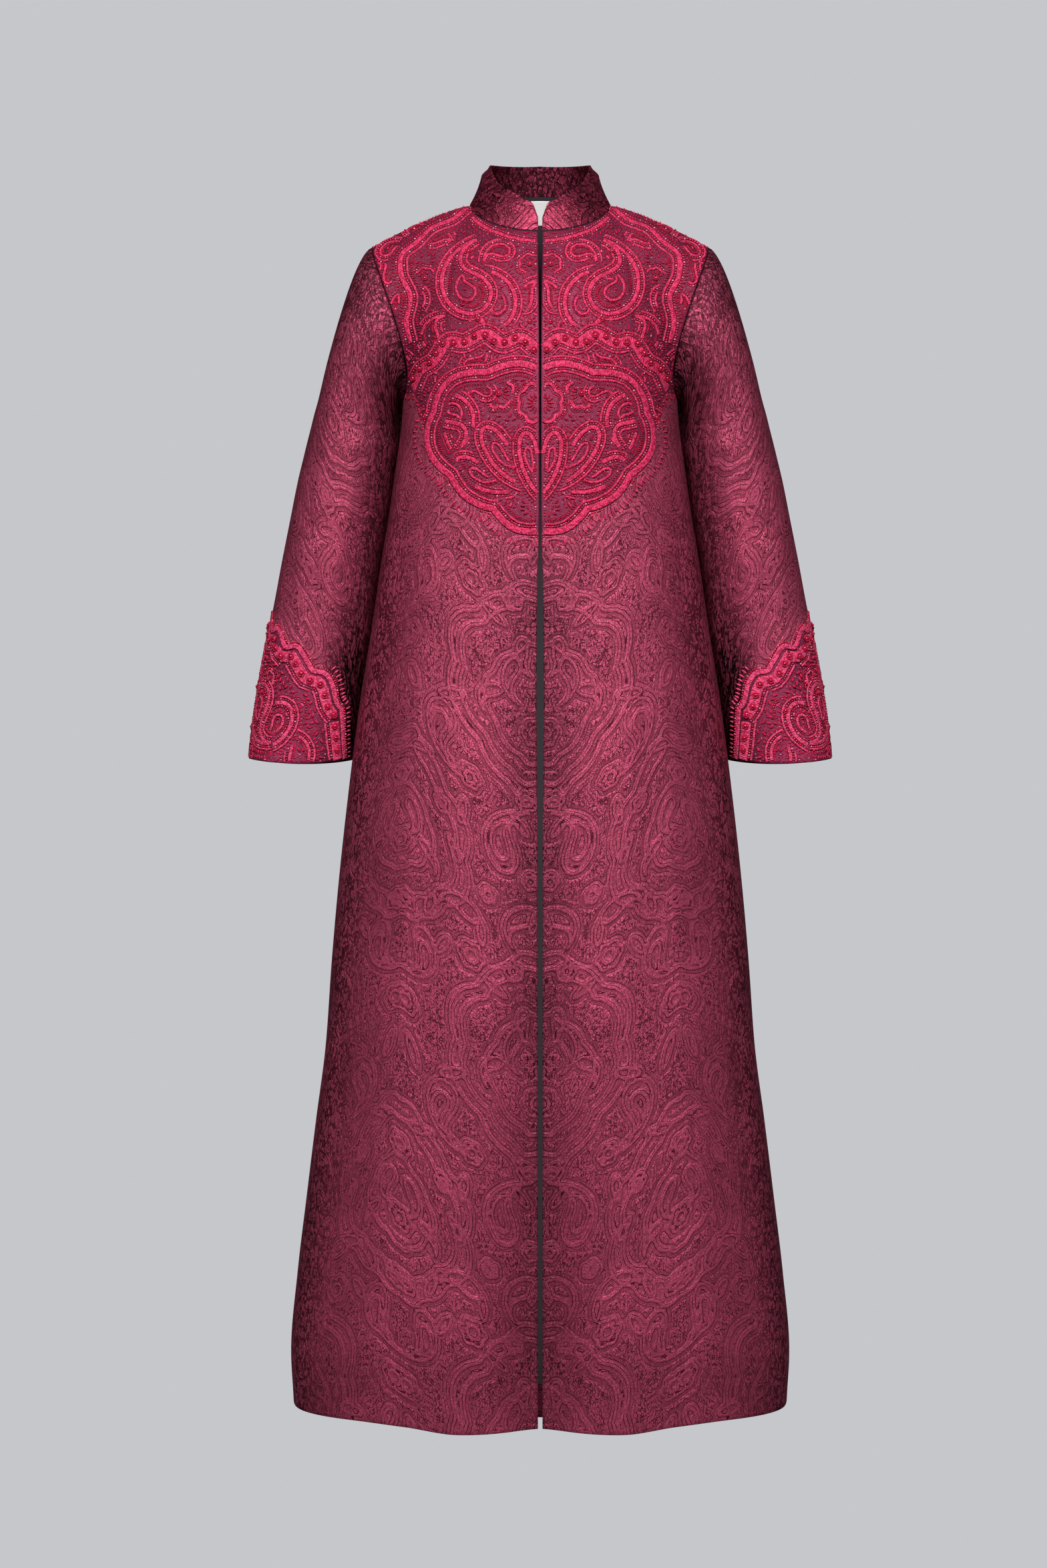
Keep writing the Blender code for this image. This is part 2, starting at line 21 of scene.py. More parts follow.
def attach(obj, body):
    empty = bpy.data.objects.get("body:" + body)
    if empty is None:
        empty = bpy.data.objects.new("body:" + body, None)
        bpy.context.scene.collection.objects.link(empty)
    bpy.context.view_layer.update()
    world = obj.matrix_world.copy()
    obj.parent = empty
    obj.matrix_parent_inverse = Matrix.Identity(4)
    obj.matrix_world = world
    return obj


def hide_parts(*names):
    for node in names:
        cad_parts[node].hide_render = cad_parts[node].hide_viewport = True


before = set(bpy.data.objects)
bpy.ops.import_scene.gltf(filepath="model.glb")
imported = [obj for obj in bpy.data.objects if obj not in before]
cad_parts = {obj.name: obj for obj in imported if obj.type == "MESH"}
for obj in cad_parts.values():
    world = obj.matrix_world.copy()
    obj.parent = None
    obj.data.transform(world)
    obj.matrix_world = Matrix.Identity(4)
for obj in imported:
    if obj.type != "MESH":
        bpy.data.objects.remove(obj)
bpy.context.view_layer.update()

# Walls and clearances
CLOTH_WALL = 0.0020
COLLAR_WALL = 0.0024
SEAM_GAP = 0.0003
SLEEVE_SEAM_GAP = 0.0006
SLEEVE_TUCK = 0.0010

# Neckline and shoulders
NECK_HALF_WIDTH = 0.0844
NECK_FRONT_DEPTH = 0.080
NECK_BACK_DEPTH = 0.068
NECK_FRONT_DROP = 0.042
NECK_BACK_RISE = 0.0215
SHOULDER_HALF_WIDTH = 0.2004
SHOULDER_DROP = 0.0496
SHOULDER_SAG = 1.30
UNDERARM_HEIGHT = -0.235

# Body rings: height, half width, front depth, back depth, depth of the valley and of the flutes
BODY_RINGS = (
    (-0.235, 0.1638, 0.132, 0.112, 0.000, 0.000),
    (-0.270, 0.1668, 0.134, 0.113, 0.000, 0.000),
    (-0.316, 0.1732, 0.135, 0.112, 0.000, 0.000),
    (-0.367, 0.1804, 0.136, 0.110, 0.000, 0.000),
    (-0.423, 0.1896, 0.137, 0.109, 0.001, 0.000),
    (-0.506, 0.2016, 0.140, 0.110, 0.003, 0.001),
    (-0.594, 0.2156, 0.143, 0.114, 0.005, 0.002),
    (-0.714, 0.2308, 0.147, 0.120, 0.008, 0.004),
    (-0.810, 0.2412, 0.151, 0.125, 0.011, 0.005),
    (-0.906, 0.2496, 0.155, 0.130, 0.014, 0.006),
    (-1.002, 0.2564, 0.159, 0.135, 0.018, 0.007),
    (-1.098, 0.2684, 0.163, 0.140, 0.021, 0.008),
    (-1.194, 0.2796, 0.167, 0.145, 0.024, 0.009),
    (-1.290, 0.2904, 0.170, 0.149, 0.026, 0.010),
    (-1.386, 0.2980, 0.173, 0.153, 0.028, 0.010),
    (-1.442, 0.2950, 0.174, 0.155, 0.029, 0.010),
)
SECTION_ROUNDNESS = 2.25
VALLEY_WIDTH = 0.050
BACK_FLUTES = 3.5
FLUTE_FADE = 2.0

# Opening down the centre front: height, full width of the gap between the two edges
FRONT_GAP = (
    (-0.020, 0.0068),
    (-0.060, 0.0056),
    (-0.110, 0.0036),
    (-0.230, 0.0022),
    (-0.370, 0.0022),
    (-0.430, 0.0044),
    (-0.480, 0.0068),
    (-0.580, 0.0086),
    (-0.670, 0.0074),
    (-0.760, 0.0056),
    (-1.442, 0.0052),
)
GAP_SHARE = 0.25

# Rise of the hem above its lowest line: share of the way from centre to side, front, back
HEM_HEIGHT = -1.444
HEM_BLEND_HEIGHT = 0.45
HEM_RISE = (
    (0.00, 0.0035, -0.0350),
    (0.12, 0.0010, -0.0345),
    (0.25, 0.0000, -0.0310),
    (0.42, 0.0070, -0.0240),
    (0.60, 0.0105, -0.0140),
    (0.80, 0.0110, -0.0020),
    (0.90, 0.0120, 0.0060),
    (1.00, 0.0190, 0.0190),
)

# Handles of the curves down to the underarm ring: share from centre to side, top, low
FRONT_DRAPE = (
    (0.00, 0.000, -0.026, -0.052, 0.000, -0.002, 0.080),
    (0.25, 0.008, -0.040, -0.036, 0.000, -0.001, 0.080),
    (0.40, 0.018, -0.052, -0.026, 0.000, 0.000, 0.085),
    (0.50, 0.018, -0.068, -0.018, 0.001, 0.000, 0.092),
    (0.62, 0.008, -0.076, -0.014, -0.001, 0.000, 0.096),
    (0.80, 0.003, -0.078, -0.012, -0.009, -0.020, 0.070),
    (1.00, 0.008, -0.075, -0.010, -0.0270, -0.078, 0.032),
)
BACK_DRAPE = (
    (0.00, 0.000, 0.026, -0.058, 0.000, 0.002, 0.080),
    (0.25, 0.006, 0.036, -0.044, 0.000, 0.002, 0.080),
    (0.40, 0.014, 0.046, -0.030, 0.000, 0.000, 0.085),
    (0.50, 0.016, 0.060, -0.020, 0.001, 0.000, 0.092),
    (0.62, 0.008, 0.072, -0.015, -0.001, 0.000, 0.096),
    (0.80, 0.002, 0.076, -0.012, -0.003, 0.018, 0.070),
    (1.00, 0.000, 0.076, -0.010, -0.0060, 0.078, 0.032),
)
NECK_SHARE = 0.5

# Sleeve sections: height, outer edge, middle of the depth, half depth
SLEEVE_RINGS = (
    (-0.290, 0.2826, 0.030, 0.080),
    (-0.3296, 0.2922, 0.031, 0.079),
    (-0.3776, 0.3018, 0.032, 0.078),
    (-0.4256, 0.3114, 0.034, 0.077),
    (-0.4736, 0.3204, 0.036, 0.076),
    (-0.5216, 0.3304, 0.037, 0.075),
    (-0.5696, 0.3392, 0.038, 0.074),
    (-0.6176, 0.3466, 0.039, 0.073),
    (-0.6616, 0.3516, 0.040, 0.072),
)
SLEEVE_ROUNDNESS = 2.35
CUFF_DIP = 0.0062

# Handles of the curves over the sleeve head: turn, top, low
SLEEVE_HEAD = (
    (0.00, 0.007, 0.014, -0.010, 0.000, -0.006, 0.020),
    (0.04, 0.020, 0.008, -0.010, 0.002, -0.003, 0.022),
    (0.12, 0.024, -0.006, -0.014, 0.000, 0.004, 0.032),
    (0.25, 0.030, -0.012, -0.030, 0.000, 0.006, 0.060),
    (0.38, 0.028, -0.012, -0.022, -0.012, 0.004, 0.085),
    (0.50, 0.0245, 0.000, -0.0104, -0.0260, 0.000, 0.096),
    (0.62, 0.028, 0.012, -0.022, -0.012, -0.004, 0.085),
    (0.75, 0.030, 0.012, -0.030, 0.000, -0.006, 0.060),
    (0.88, 0.024, 0.006, -0.014, 0.000, -0.004, 0.032),
    (0.96, 0.016, 0.012, -0.010, 0.000, -0.004, 0.023),
    (1.00, 0.007, 0.014, -0.010, 0.000, -0.006, 0.020),
)

# Stand collar: turn from -90 degrees at the centre front to 90 at the back, top height
COLLAR_TOP = (
    (-90.0, -0.0085),
    (-77.0, -0.0070),
    (-60.0, 0.0040),
    (-36.0, 0.0180),
    (-18.0, 0.0340),
    (0.0, 0.0465),
    (40.0, 0.0520),
    (90.0, 0.0550),
)
COLLAR_TOP_HALF_WIDTH = 0.0688
COLLAR_TOP_FRONT = 0.0775
COLLAR_TOP_BACK = 0.0620
COLLAR_CURL = 0.0080
COLLAR_CURL_SHARE = 0.25
COLLAR_GAP_HEIGHT = -0.030
COLLAR_SPACING = 1.25
COLLAR_HOLLOW = 1.7
COLLAR_CORNER = 0.018
COLLAR_LIFT = 0.0009
COLLAR_DROP_POWER = 1.15

# Lining inside the back, and the plain woven label on it
LINING_SHARE = 0.97
LINING_CLEARANCE = 0.0008
LABEL_TOP_LEVEL = 0.026
LABEL_BOTTOM_LEVEL = 0.165
LABEL_SHARE = 2.0 / 24
LABEL_STEPS = 25
LABEL_DEPTH = 0.0043
LABEL_EDGE = ((0.0003, 0.0004), (-0.0010, 0.0009))

# Lower edge of the yoke embroidery, seen from the front: distance from the centre, height
YOKE_EDGE = (
    (0.000, -0.410),
    (0.042, -0.392),
    (0.076, -0.370),
    (0.108, -0.341),
    (0.126, -0.318),
    (0.136, -0.288),
    (0.141, -0.258),
    (0.150, -0.240),
    (0.180, -0.238),
)
# Upper edge of the cuff embroidery: turn from the outer edge in degrees, height
CUFF_EDGE = (
    (0.0, -0.484),
    (40.0, -0.506),
    (80.0, -0.534),
    (96.0, -0.553),
    (117.0, -0.577),
    (132.0, -0.604),
    (142.0, -0.650),
    (160.0, -0.700),
    (180.0, -0.720),
)
GROUND_FADE = 0.004

# Embroidery sizes
PATH_STEP = 0.0024
# Dark strip under each band that paints its shadow on the ground
SHADOW_STRIP_REACH = 0.0008
SHADOW_STRIP_HEIGHT = 0.00025
SHADOW_STRIP_PROFILE = (
    (-1.0, -SHADOW_STRIP_HEIGHT),
    (-0.96, SHADOW_STRIP_HEIGHT),
    (0.96, SHADOW_STRIP_HEIGHT),
    (1.0, -SHADOW_STRIP_HEIGHT),
)
# One bead in so many is pale pink, a painted glint
GLINT_CRYSTAL_SHARE = 6
BAND_WIDTH = 0.0044
BAND_HEIGHT = 0.0011
FINE_BAND_WIDTH = 0.0027
CORD_RADIUS = 0.00062
ECHO_CORD_GAP = 0.0022
BEAD_RADIUS = 0.00135
BEAD_PITCH = 0.0032
SEED_RADIUS = 0.0009
SHOULDER_BEAD_RADIUS = 0.0016
SHOULDER_BEADS_INSET = 0.0030
LEAF_LENGTH = 0.0070
LEAF_WIDTH = 0.0031
PICK_WIDTH = 0.0024
STITCH_LIFT = 0.0002
KNOT_LIFT = 0.0006
SEEK_STEPS = 4
CENTRE_CLEARANCE = 0.0035
FILL_SPACING = 0.0046
EMBROIDERY_SEED = 7
KNOT_RADIUS = 0.0044
YOKE_KNOT_PITCH = 0.0135
YOKE_KNOT_SHIFT = 0.004
CUFF_KNOT_PITCH = 0.0150
RAISED_BAND = (0.0064, 0.0013)
FLAT_BAND_HEIGHT = 0.0008
STITCH_ROW_WIDTH = 0.0024
BROAD_BAND_WIDTH = 0.006
OUTLINE_GAP = 0.0012
# Paisleys: the outline's width for those longer than a length, and what flanks it
PAISLEY_BANDS = ((0.060, 0.0052), (0.037, 0.0040), (0.0, 0.0032))
PAISLEY_ROWS = ((0.0016, "beads"), (0.0044, "band"))
PAISLEY_BEADS_INSET = 0.0016
PAISLEY_CORD_INSET = 0.0013
PAISLEY_ROOT = 0.16
PAISLEY_LEAVES_DISTANCES = (0.0034, 0.0060)
INNER_PAISLEY_SIZE = 0.40
INNER_PAISLEY_BAND = 0.0034
INNER_PAISLEY_CORD = 0.0032
CLUSTER_SHARES = (0.2, 0.3)
CLUSTER_ROOM = 2.4
# Flowers: distances beyond the radius, and depths of the lobes, of band, beads and cord
FLOWER_RINGS = ((0.0, 0.16), (0.0034, 0.14), (0.0058, 0.12))
FLOWER_BANDS = (0.0030, 0.0042)
LARGE_FLOWER = 0.014
FLOWER_KNOT = (0.20, 0.0012, 0.0040)
FLOWER_GAP = 0.0008
FLOWER_LEAF_PITCH = 0.0036
PICK_CLEARANCE = 0.0006
PICK_COVER = 0.0007
SPRAY_STEP = 1e-5
CLUSTER_TURNS = (0.0, -42.0, 42.0, 180.0, 138.0, -138.0)
CLUSTER_REACH = 0.0044
CLUSTER_STEP = 0.0072
# Leaf rows: length, width, pitch, lean in degrees
BORDER_LEAVES = (0.0052, 0.0022, 0.0037, 20.0)
BAND_LEAVES = (0.0052, 0.0024, 0.0037, 20.0)
INNER_LEAVES = (0.0060, 0.0024, 0.0036, 18.0)
OUTER_LEAVES = (0.0050, 0.0021, 0.0036, 20.0)
# Fringes: distance from the line, length, pitch
YOKE_FRINGE = (0.0104, 0.0085, 0.0050)
CUFF_FRINGE = (-0.0020, 0.0085, 0.0054)
# Corners of the areas filled with small stitches
YOKE_FILL = ((0.004, -0.405), (0.200, -0.004))
CUFF_FILL = ((0.001, -0.705), (0.160, -0.484))

# Yoke layout on the +X front, seen from the front: across from the centre, height
BORDER_CENTRE_HEIGHT = -0.298
# The lobed border: degrees about its centre, reach
YOKE_BORDER = (
    (-90.0, 0.1040),
    (-75.0, 0.0990),
    (-60.0, 0.0955),
    (-45.0, 0.0970),
    (-30.0, 0.1040),
    (-15.0, 0.1160),
    (0.0, 0.1270),
    (18.0, 0.1340),
    (35.0, 0.1270),
    (52.0, 0.1090),
    (70.0, 0.0950),
    (90.0, 0.0890),
)
BORDER_LOBES = 5
BORDER_LOBE_DEPTH = 0.0075
BORDER_BAND = (0.0080, 0.0013)
BORDER_ROWS = ((-0.0058, "beads"), (-0.0088, "band"), (0.0060, "beads"), (0.0088, "band"))
BORDER_LEAVES_DISTANCE = -0.0110
FRINGED_BORDER_TOP = -0.250

# Bands of the yoke: across, height
UPPER_BAND = (
    (0.0035, -0.188),
    (0.022, -0.174),
    (0.044, -0.180),
    (0.064, -0.168),
    (0.088, -0.178),
    (0.108, -0.176),
    (0.124, -0.197),
    (0.140, -0.206),
    (0.150, -0.226),
)
UPPER_BAND_WIDTH = 0.0130
UPPER_ROWS = ((0.0016, "beads"), (0.0046, "band"))
UPPER_LEAVES_DISTANCE = 0.0066
SHOULDER_BAND = (
    (0.088, -0.006),
    (0.104, -0.022),
    (0.128, -0.032),
    (0.146, -0.050),
    (0.164, -0.066),
    (0.164, -0.092),
    (0.153, -0.118),
    (0.158, -0.146),
    (0.153, -0.172),
)
SHOULDER_ROWS = ((0.0048, "beads"), (-0.0048, "beads"), (0.0080, "band"))
SHOULDER_LEAVES_DISTANCES = (0.0100, -0.0064)
NECK_BAND = (
    (0.0035, -0.0550),
    (0.020, -0.0535),
    (0.040, -0.0480),
    (0.060, -0.0390),
    (0.076, -0.0260),
    (0.085, -0.0120),
    (0.0885, -0.0030),
)
NECK_ROWS = ((0.0038, "beads"), (-0.0038, "beads"))
CENTRE_BEADS = ((0.0054, -0.062), (0.0054, -0.200), (0.0054, -0.400))
YOKE_MARGIN = 0.0016
ARM_CLEAR_HEIGHT = -0.262

# Paisleys: across, height, length, width, degrees, bend
YOKE_TEARDROPS = (
    (0.100, -0.108, 0.092, 0.054, 32.0, 1.1),
    (0.044, -0.121, 0.084, 0.046, 110.0, -1.1),
    (0.118, -0.042, 0.036, 0.019, 158.0, 0.9),
    (0.052, -0.064, 0.034, 0.017, 20.0, -0.9),
    (0.146, -0.029, 0.028, 0.014, 148.0, 0.8),
    (0.178, -0.052, 0.032, 0.016, 128.0, 0.8),
    (0.178, -0.084, 0.034, 0.014, 100.0, -0.6),
    (0.132, -0.160, 0.042, 0.022, 74.0, 0.9),
    (0.172, -0.126, 0.034, 0.013, 80.0, 0.5),
    (0.157, -0.196, 0.040, 0.014, 92.0, -0.6),
    (0.091, -0.258, 0.064, 0.036, 196.0, 1.0),
    (0.116, -0.300, 0.050, 0.022, 250.0, -0.8),
    (0.0165, -0.119, 0.040, 0.017, 96.0, 0.5),
    (0.030, -0.204, 0.036, 0.014, 4.0, 0.8),
    (0.071, -0.202, 0.036, 0.014, 172.0, -0.8),
    (0.108, -0.214, 0.034, 0.014, 150.0, 0.7),
    (0.064, -0.092, 0.030, 0.014, 64.0, 0.8),
    (0.140, -0.124, 0.030, 0.013, 250.0, 0.7),
    (0.070, -0.232, 0.030, 0.013, 30.0, -0.7),
    (0.026, -0.330, 0.040, 0.014, 262.0, 0.4),
)
# Petals of the fan: degrees, start, length, width, bend
FAN_PETALS = (
    (82.0, 0.018, 0.084, 0.023, -0.2),
    (60.0, 0.020, 0.104, 0.029, -0.4),
    (37.0, 0.024, 0.094, 0.028, -0.5),
    (13.0, 0.030, 0.062, 0.022, -0.6),
)
FAN_ROOT = (0.003, -0.386)
# Flowers: across, height, radius, petals
YOKE_ROSETTES = (
    (0.0030, -0.250, 0.0240, 8),
    (0.048, -0.238, 0.0180, 8),
    (0.012, -0.084, 0.0130, 7),
    (0.072, -0.150, 0.0110, 6),
    (0.012, -0.154, 0.0115, 6),
    (0.136, -0.096, 0.0130, 7),
    (0.136, -0.262, 0.0100, 6),
    (0.084, -0.066, 0.0100, 6),
    (0.030, -0.292, 0.0090, 6),
)

# Cuff layout on the +X sleeve: round from the outer edge, height
CUFF_BAND_INSETS = (0.0044, 0.0164)
CUFF_BAND_WIDTH = 0.0135
CUFF_HEM_MARGIN = 0.0008
CUFF_LOBE_DEPTH = 0.0110
CUFF_LOBE_TURN = 31.0
CUFF_BAND_ROWS = ((0.0017, "beads"), (0.0048, "band"))
CUFF_HEM_ROWS = ((0.0022, "band"), (0.0052, "beads"))
CUFF_EDGE_MARGIN = 0.001
FRINGED_CUFF_TOP = -0.560
CUFF_TEARDROPS = (
    (0.036, -0.612, 0.080, 0.044, 250.0, 0.9),
    (0.078, -0.632, 0.072, 0.040, 262.0, -0.9),
    (0.112, -0.650, 0.052, 0.026, 84.0, 0.9),
    (0.016, -0.540, 0.036, 0.016, 84.0, 0.6),
    (0.010, -0.664, 0.040, 0.018, 96.0, -0.5),
)
CUFF_ROSETTES = (
    (0.050, -0.668, 0.0150, 8),
    (0.014, -0.576, 0.0120, 7),
    (0.056, -0.568, 0.0100, 6),
    (0.100, -0.606, 0.0110, 6),
    (0.092, -0.676, 0.0090, 6),
    (0.012, -0.624, 0.0100, 6),
)

# How the fine sheets are sampled: columns and rows of worked-out points, then of the mesh
FRONT_GRID = (41, (22, 84), (110, (70, 330)))
BACK_GRID = (61, (22, 84), (160, (50, 250)))
SLEEVE_GRID = (65, (16, 34), (120, (50, 130)))
COLLAR_GRID = (89, 14, 360, 26)
LINING_GRID = (41, (16, 30), (60, (20, 60)))

# The sleeve's back is pushed in behind the body's side, most just under the arm
TUCK_HEIGHT = -0.241
TUCK_REACH = 0.020
TUCK_FROM = 0.022
TUCK_TO = 0.036
TUCK_DEPTHS = (0.0030, 0.0110)
TUCK_TURN = 0.25
TUCK_TURN_FADE = 0.15

# Turned edges: distance beyond the edge, negative back inside, and depth behind the face
SEAM_UNDERLAP = (
    (0.0, 0.0004),
    (0.0, 0.0014),
    (0.0014, 0.0026),
    (-0.0040, 0.0028),
    (-0.0080, 0.0028),
)
SEAM_EDGE = ((0.0, 0.0004), (0.0, 0.0012), (-0.0020, 0.0018), (-0.0080, 0.0019))
CENTRE_EDGE = (
    (0.0, 0.0003),
    (0.0, 0.0010),
    (-0.0010, 0.0018),
    (-0.0040, 0.0022),
    (-0.0300, 0.0023),
)
HEM_EDGE = (
    (0.0006, 0.0003),
    (0.0009, 0.0010),
    (0.0005, 0.0018),
    (-0.0030, 0.0022),
    (-0.0120, 0.0023),
    (-0.0300, 0.0023),
)
FRONT_EDGES = (
    ("top", SEAM_EDGE),
    ("bottom", HEM_EDGE),
    ("right", SEAM_UNDERLAP),
    ("left", CENTRE_EDGE),
)
BACK_EDGES = (("top", SEAM_EDGE), ("left", SEAM_EDGE), ("right", SEAM_EDGE), ("bottom", HEM_EDGE))
SLEEVE_EDGES = (("top", SEAM_UNDERLAP), ("bottom", HEM_EDGE))
LABEL_EDGES = tuple((side, LABEL_EDGE) for side in ("top", "bottom", "left", "right"))
SEAM_SHARE = 0.9998
SEAM_ROLL = 0.0004
SEAM_ROLL_WIDTH = 0.0035
CREASE_FADE = 0.02
COLLAR_PATTERN = 0.65
COLLAR_PATTERN_START = 0.08
COLLAR_NORMAL_RISE = 0.6
COLLAR_INSIDE_SHADE_SHARE = 0.40
COLLAR_ALLOWANCE = 0.0030
COLLAR_RIM_STEPS = 7
COLLAR_ROLL = 0.4

# Soft creases: start and end across and along the cloth, half width, depth
FRONT_CREASES = (
    (0.170, 0.300, 0.215, 0.760, 0.018, 0.0022),
    (0.120, 0.520, 0.150, 1.180, 0.022, 0.0020),
    (0.060, 0.620, 0.066, 1.330, 0.020, 0.0016),
    (0.235, 0.820, 0.285, 1.430, 0.020, 0.0022),
    (0.190, 1.020, 0.210, 1.440, 0.018, -0.0018),
    (0.095, 0.480, 0.110, 0.800, 0.016, -0.0014),
)
BACK_CREASES = (
    (0.030, 0.350, 0.045, 1.250, 0.024, 0.0022),
    (0.110, 0.280, 0.150, 1.050, 0.022, 0.0024),
    (0.200, 0.420, 0.250, 1.380, 0.020, 0.0022),
    (0.075, 0.600, 0.085, 1.400, 0.020, -0.0020),
    (0.160, 0.700, 0.200, 1.420, 0.020, -0.0016),
    (0.150, 0.090, 0.060, 0.170, 0.016, 0.0012),
)
SLEEVE_CREASES = (
    (0.085, 0.090, 0.020, 0.200, 0.012, 0.0020),
    (0.120, 0.250, 0.050, 0.310, 0.012, 0.0016),
    (-0.090, 0.100, -0.020, 0.210, 0.013, 0.0020),
    (-0.120, 0.270, -0.050, 0.330, 0.013, 0.0018),
    (0.060, 0.380, 0.085, 0.560, 0.014, 0.0014),
    (-0.070, 0.400, -0.080, 0.570, 0.014, 0.0014),
    (0.000, 0.060, 0.010, 0.420, 0.016, 0.0010),
)
# Painted shade where shade falls: in the front's centre valley, at the sides, on the sleeves, on
# the collar's sides and by the armhole; and painted light on the cuff ground. Share of the colour
# lost, and how far it reaches
FRONT_PAINTED_SHADE_CENTRE = (0.55, 0.034, -0.36, 0.12)
FRONT_PAINTED_SHADE_SIDE = (0.32, 0.085, -0.225, 0.06)
SIDE_PAINTED_SHADE_CRUSH = (0.72, 0.062, 0.044, -0.30, 0.14)
SLEEVE_PAINTED_SHADE_INNER = (0.50, 95.0, 130.0)
SLEEVE_PAINTED_SHADE_CUFF = (0.85, 0.300, 0.480)
SLEEVE_PAINTED_SHADE_OUTER = (0.42, 62.0, 0.420)
SLEEVE_OUTER_SHADE_START = 1.3
COLLAR_PAINTED_SHADE_SIDE = (0.50, 0.215, 0.045)
SLEEVE_PAINTED_SHADE_CAP = (0.35, 0.120)
CUFF_GROUND_PAINTED_LIGHT = 0.70
ARMHOLE_PAINTED_SHADE = (0.30, 0.125, 0.175)

# Studio: the frame is as high as the whole photograph at the garment
SENSOR_WIDTH = 36.0
CAMERA_DISTANCE = 4.5
CAMERA_HEIGHT = -0.6932
FRAME_HEIGHT = 1.8792
PHOTO_HEIGHT_PIXELS = 2349
GARMENT_OFFSET_PIXELS = 25.0
BACKDROP = (0.565, 0.571, 0.597, 1.0)
FILL_LIGHT = (0.90, 0.92, 1.00, 1.0)
FILL_STRENGTH = 0.05
FLOOR_SIZE = 30.0
FLOOR_HEIGHT = -1.75
STUDIO_LIGHTS = (
    ("left_panel", (1.4, -3.0, 1.65), (0.0, 0.0, -0.50), (1.2, 1.2), 93.0, True),
    ("right_panel", (-1.4, -3.0, 1.65), (0.0, 0.0, -0.50), (1.2, 1.2), 93.0, True),
    ("front_panel", (0.0, -3.4, 0.9), (0.0, 0.0, -0.60), (0.8, 0.8), 40.0, True),
    ("back_panel_light", (0.0, 3.6, -0.3), (0.0, 0.0, -0.60), (1.5, 1.5), 130.0, False),
    ("inner_panel", (0.0, 0.012, -0.90), (0.0, 1.0, -0.90), (0.10, 1.10), 0.25, False),
)
# Each sheet's solid, slot, cut width and length, flat area, what it hangs from and its embroidery
CUT_COLUMNS = ("node", "slot", "flat", "area", "rests_on", "trim")
WHOLE_BODY = ("front_left", "front_right", "back")
CUTS = (
    ("front_left", "wine_jacquard", (0.430, 1.530), 0.500, ("back",), "yoke_left"),
    ("front_right", "wine_jacquard", (0.430, 1.530), 0.500, ("back",), "yoke_right"),
    ("back", "wine_jacquard", (0.790, 1.560), 0.900, (), None),
    ("sleeve_left", "wine_jacquard", (0.515, 0.690), 0.260, ("front_left", "back"), "cuff_left"),
    ("sleeve_right", "wine_jacquard", (0.515, 0.690), 0.260, ("front_right", "back"), "cuff_right"),
    ("collar", "collar_jacquard", (0.530, 0.128), 0.050, WHOLE_BODY, None),
    ("back_lining", "charcoal_lining", (0.750, 1.490), 0.800, ("back",), None),
    ("label", "white_label", (0.046, 0.036), None, ("back_lining",), None),
)
MERGE_DISTANCE = 0.00001
SECTION_STEPS = 160


def read_table(table, key, column=1):
    """Value of one column at key, on a smooth curve through the table's rows."""
    keys = [row[0] for row in table]
    values = [row[column] for row in table]
    if keys[0] > keys[-1]:
        keys = [-k for k in keys]
        key = -key
    if key <= keys[0]:
        return values[0]
    if key >= keys[-1]:
        return values[-1]
    low = bisect.bisect_right(keys, key) - 1
    span = keys[low + 1] - keys[low]
    share = (key - keys[low]) / span

    def slope(at):
        before = (values[at] - values[at - 1]) / (keys[at] - keys[at - 1])
        after = (values[at + 1] - values[at]) / (keys[at + 1] - keys[at])
        if before * after <= 0.0:
            return 0.0
        return 2.0 * before * after / (before + after)

    rise = (values[low + 1] - values[low]) / span
    first = rise if low == 0 else slope(low)
    last = rise if low == len(keys) - 2 else slope(low + 1)
    square = share * share
    cube = square * share
    return (
        values[low] * (2 * cube - 3 * square + 1)
        + first * span * (cube - 2 * square + share)
        + values[low + 1] * (3 * square - 2 * cube)
        + last * span * (cube - square)
    )


def read_row(table, key):
    """Values of all the columns at key."""
    return [read_table(table, key, column) for column in range(1, len(table[0]))]


def smooth_step(value):
    """Soft change from 0 to 1 while value goes from 0 to 1."""
    value = min(max(value, 0.0), 1.0)
    return value * value * (3.0 - 2.0 * value)


def bezier(start, first, second, end, share):
    """Point on a cubic curve with its four control points."""
    rest = 1.0 - share
    return (
        start * rest**3
        + first * (3.0 * rest**2 * share)
        + second * (3.0 * rest * share**2)
        + end * share**3
    )


def handles(table, key):
    """The two handles of a drape curve, at its top and at its low end."""
    values = read_row(table, key)
    return Vector(values[:3]), Vector(values[3:])


def half_gap(height):
    """Half the width of the opening between the two front edges."""
    return 0.5 * read_table(FRONT_GAP, height)


def neck_seam(angle):
    """Point of the neck seam at an angle from -90, centre front, to 90, centre back."""
    turn = math.radians(angle)
    sine = math.sin(turn)
    if angle < 0.0:
        depth = NECK_FRONT_DEPTH
        height = -NECK_FRONT_DROP * abs(sine) ** COLLAR_DROP_POWER
    else:
        depth = NECK_BACK_DEPTH
        height = NECK_BACK_RISE * sine * sine
    return Vector((NECK_HALF_WIDTH * math.cos(turn), depth * sine, height))


def shoulder_seam(share):
    """Point of the shoulder seam from the neck point, 0, to the sleeve head, 1."""
    across = NECK_HALF_WIDTH + share * (SHOULDER_HALF_WIDTH - NECK_HALF_WIDTH)
    return Vector((across, 0.0, -SHOULDER_DROP * share**SHOULDER_SAG))


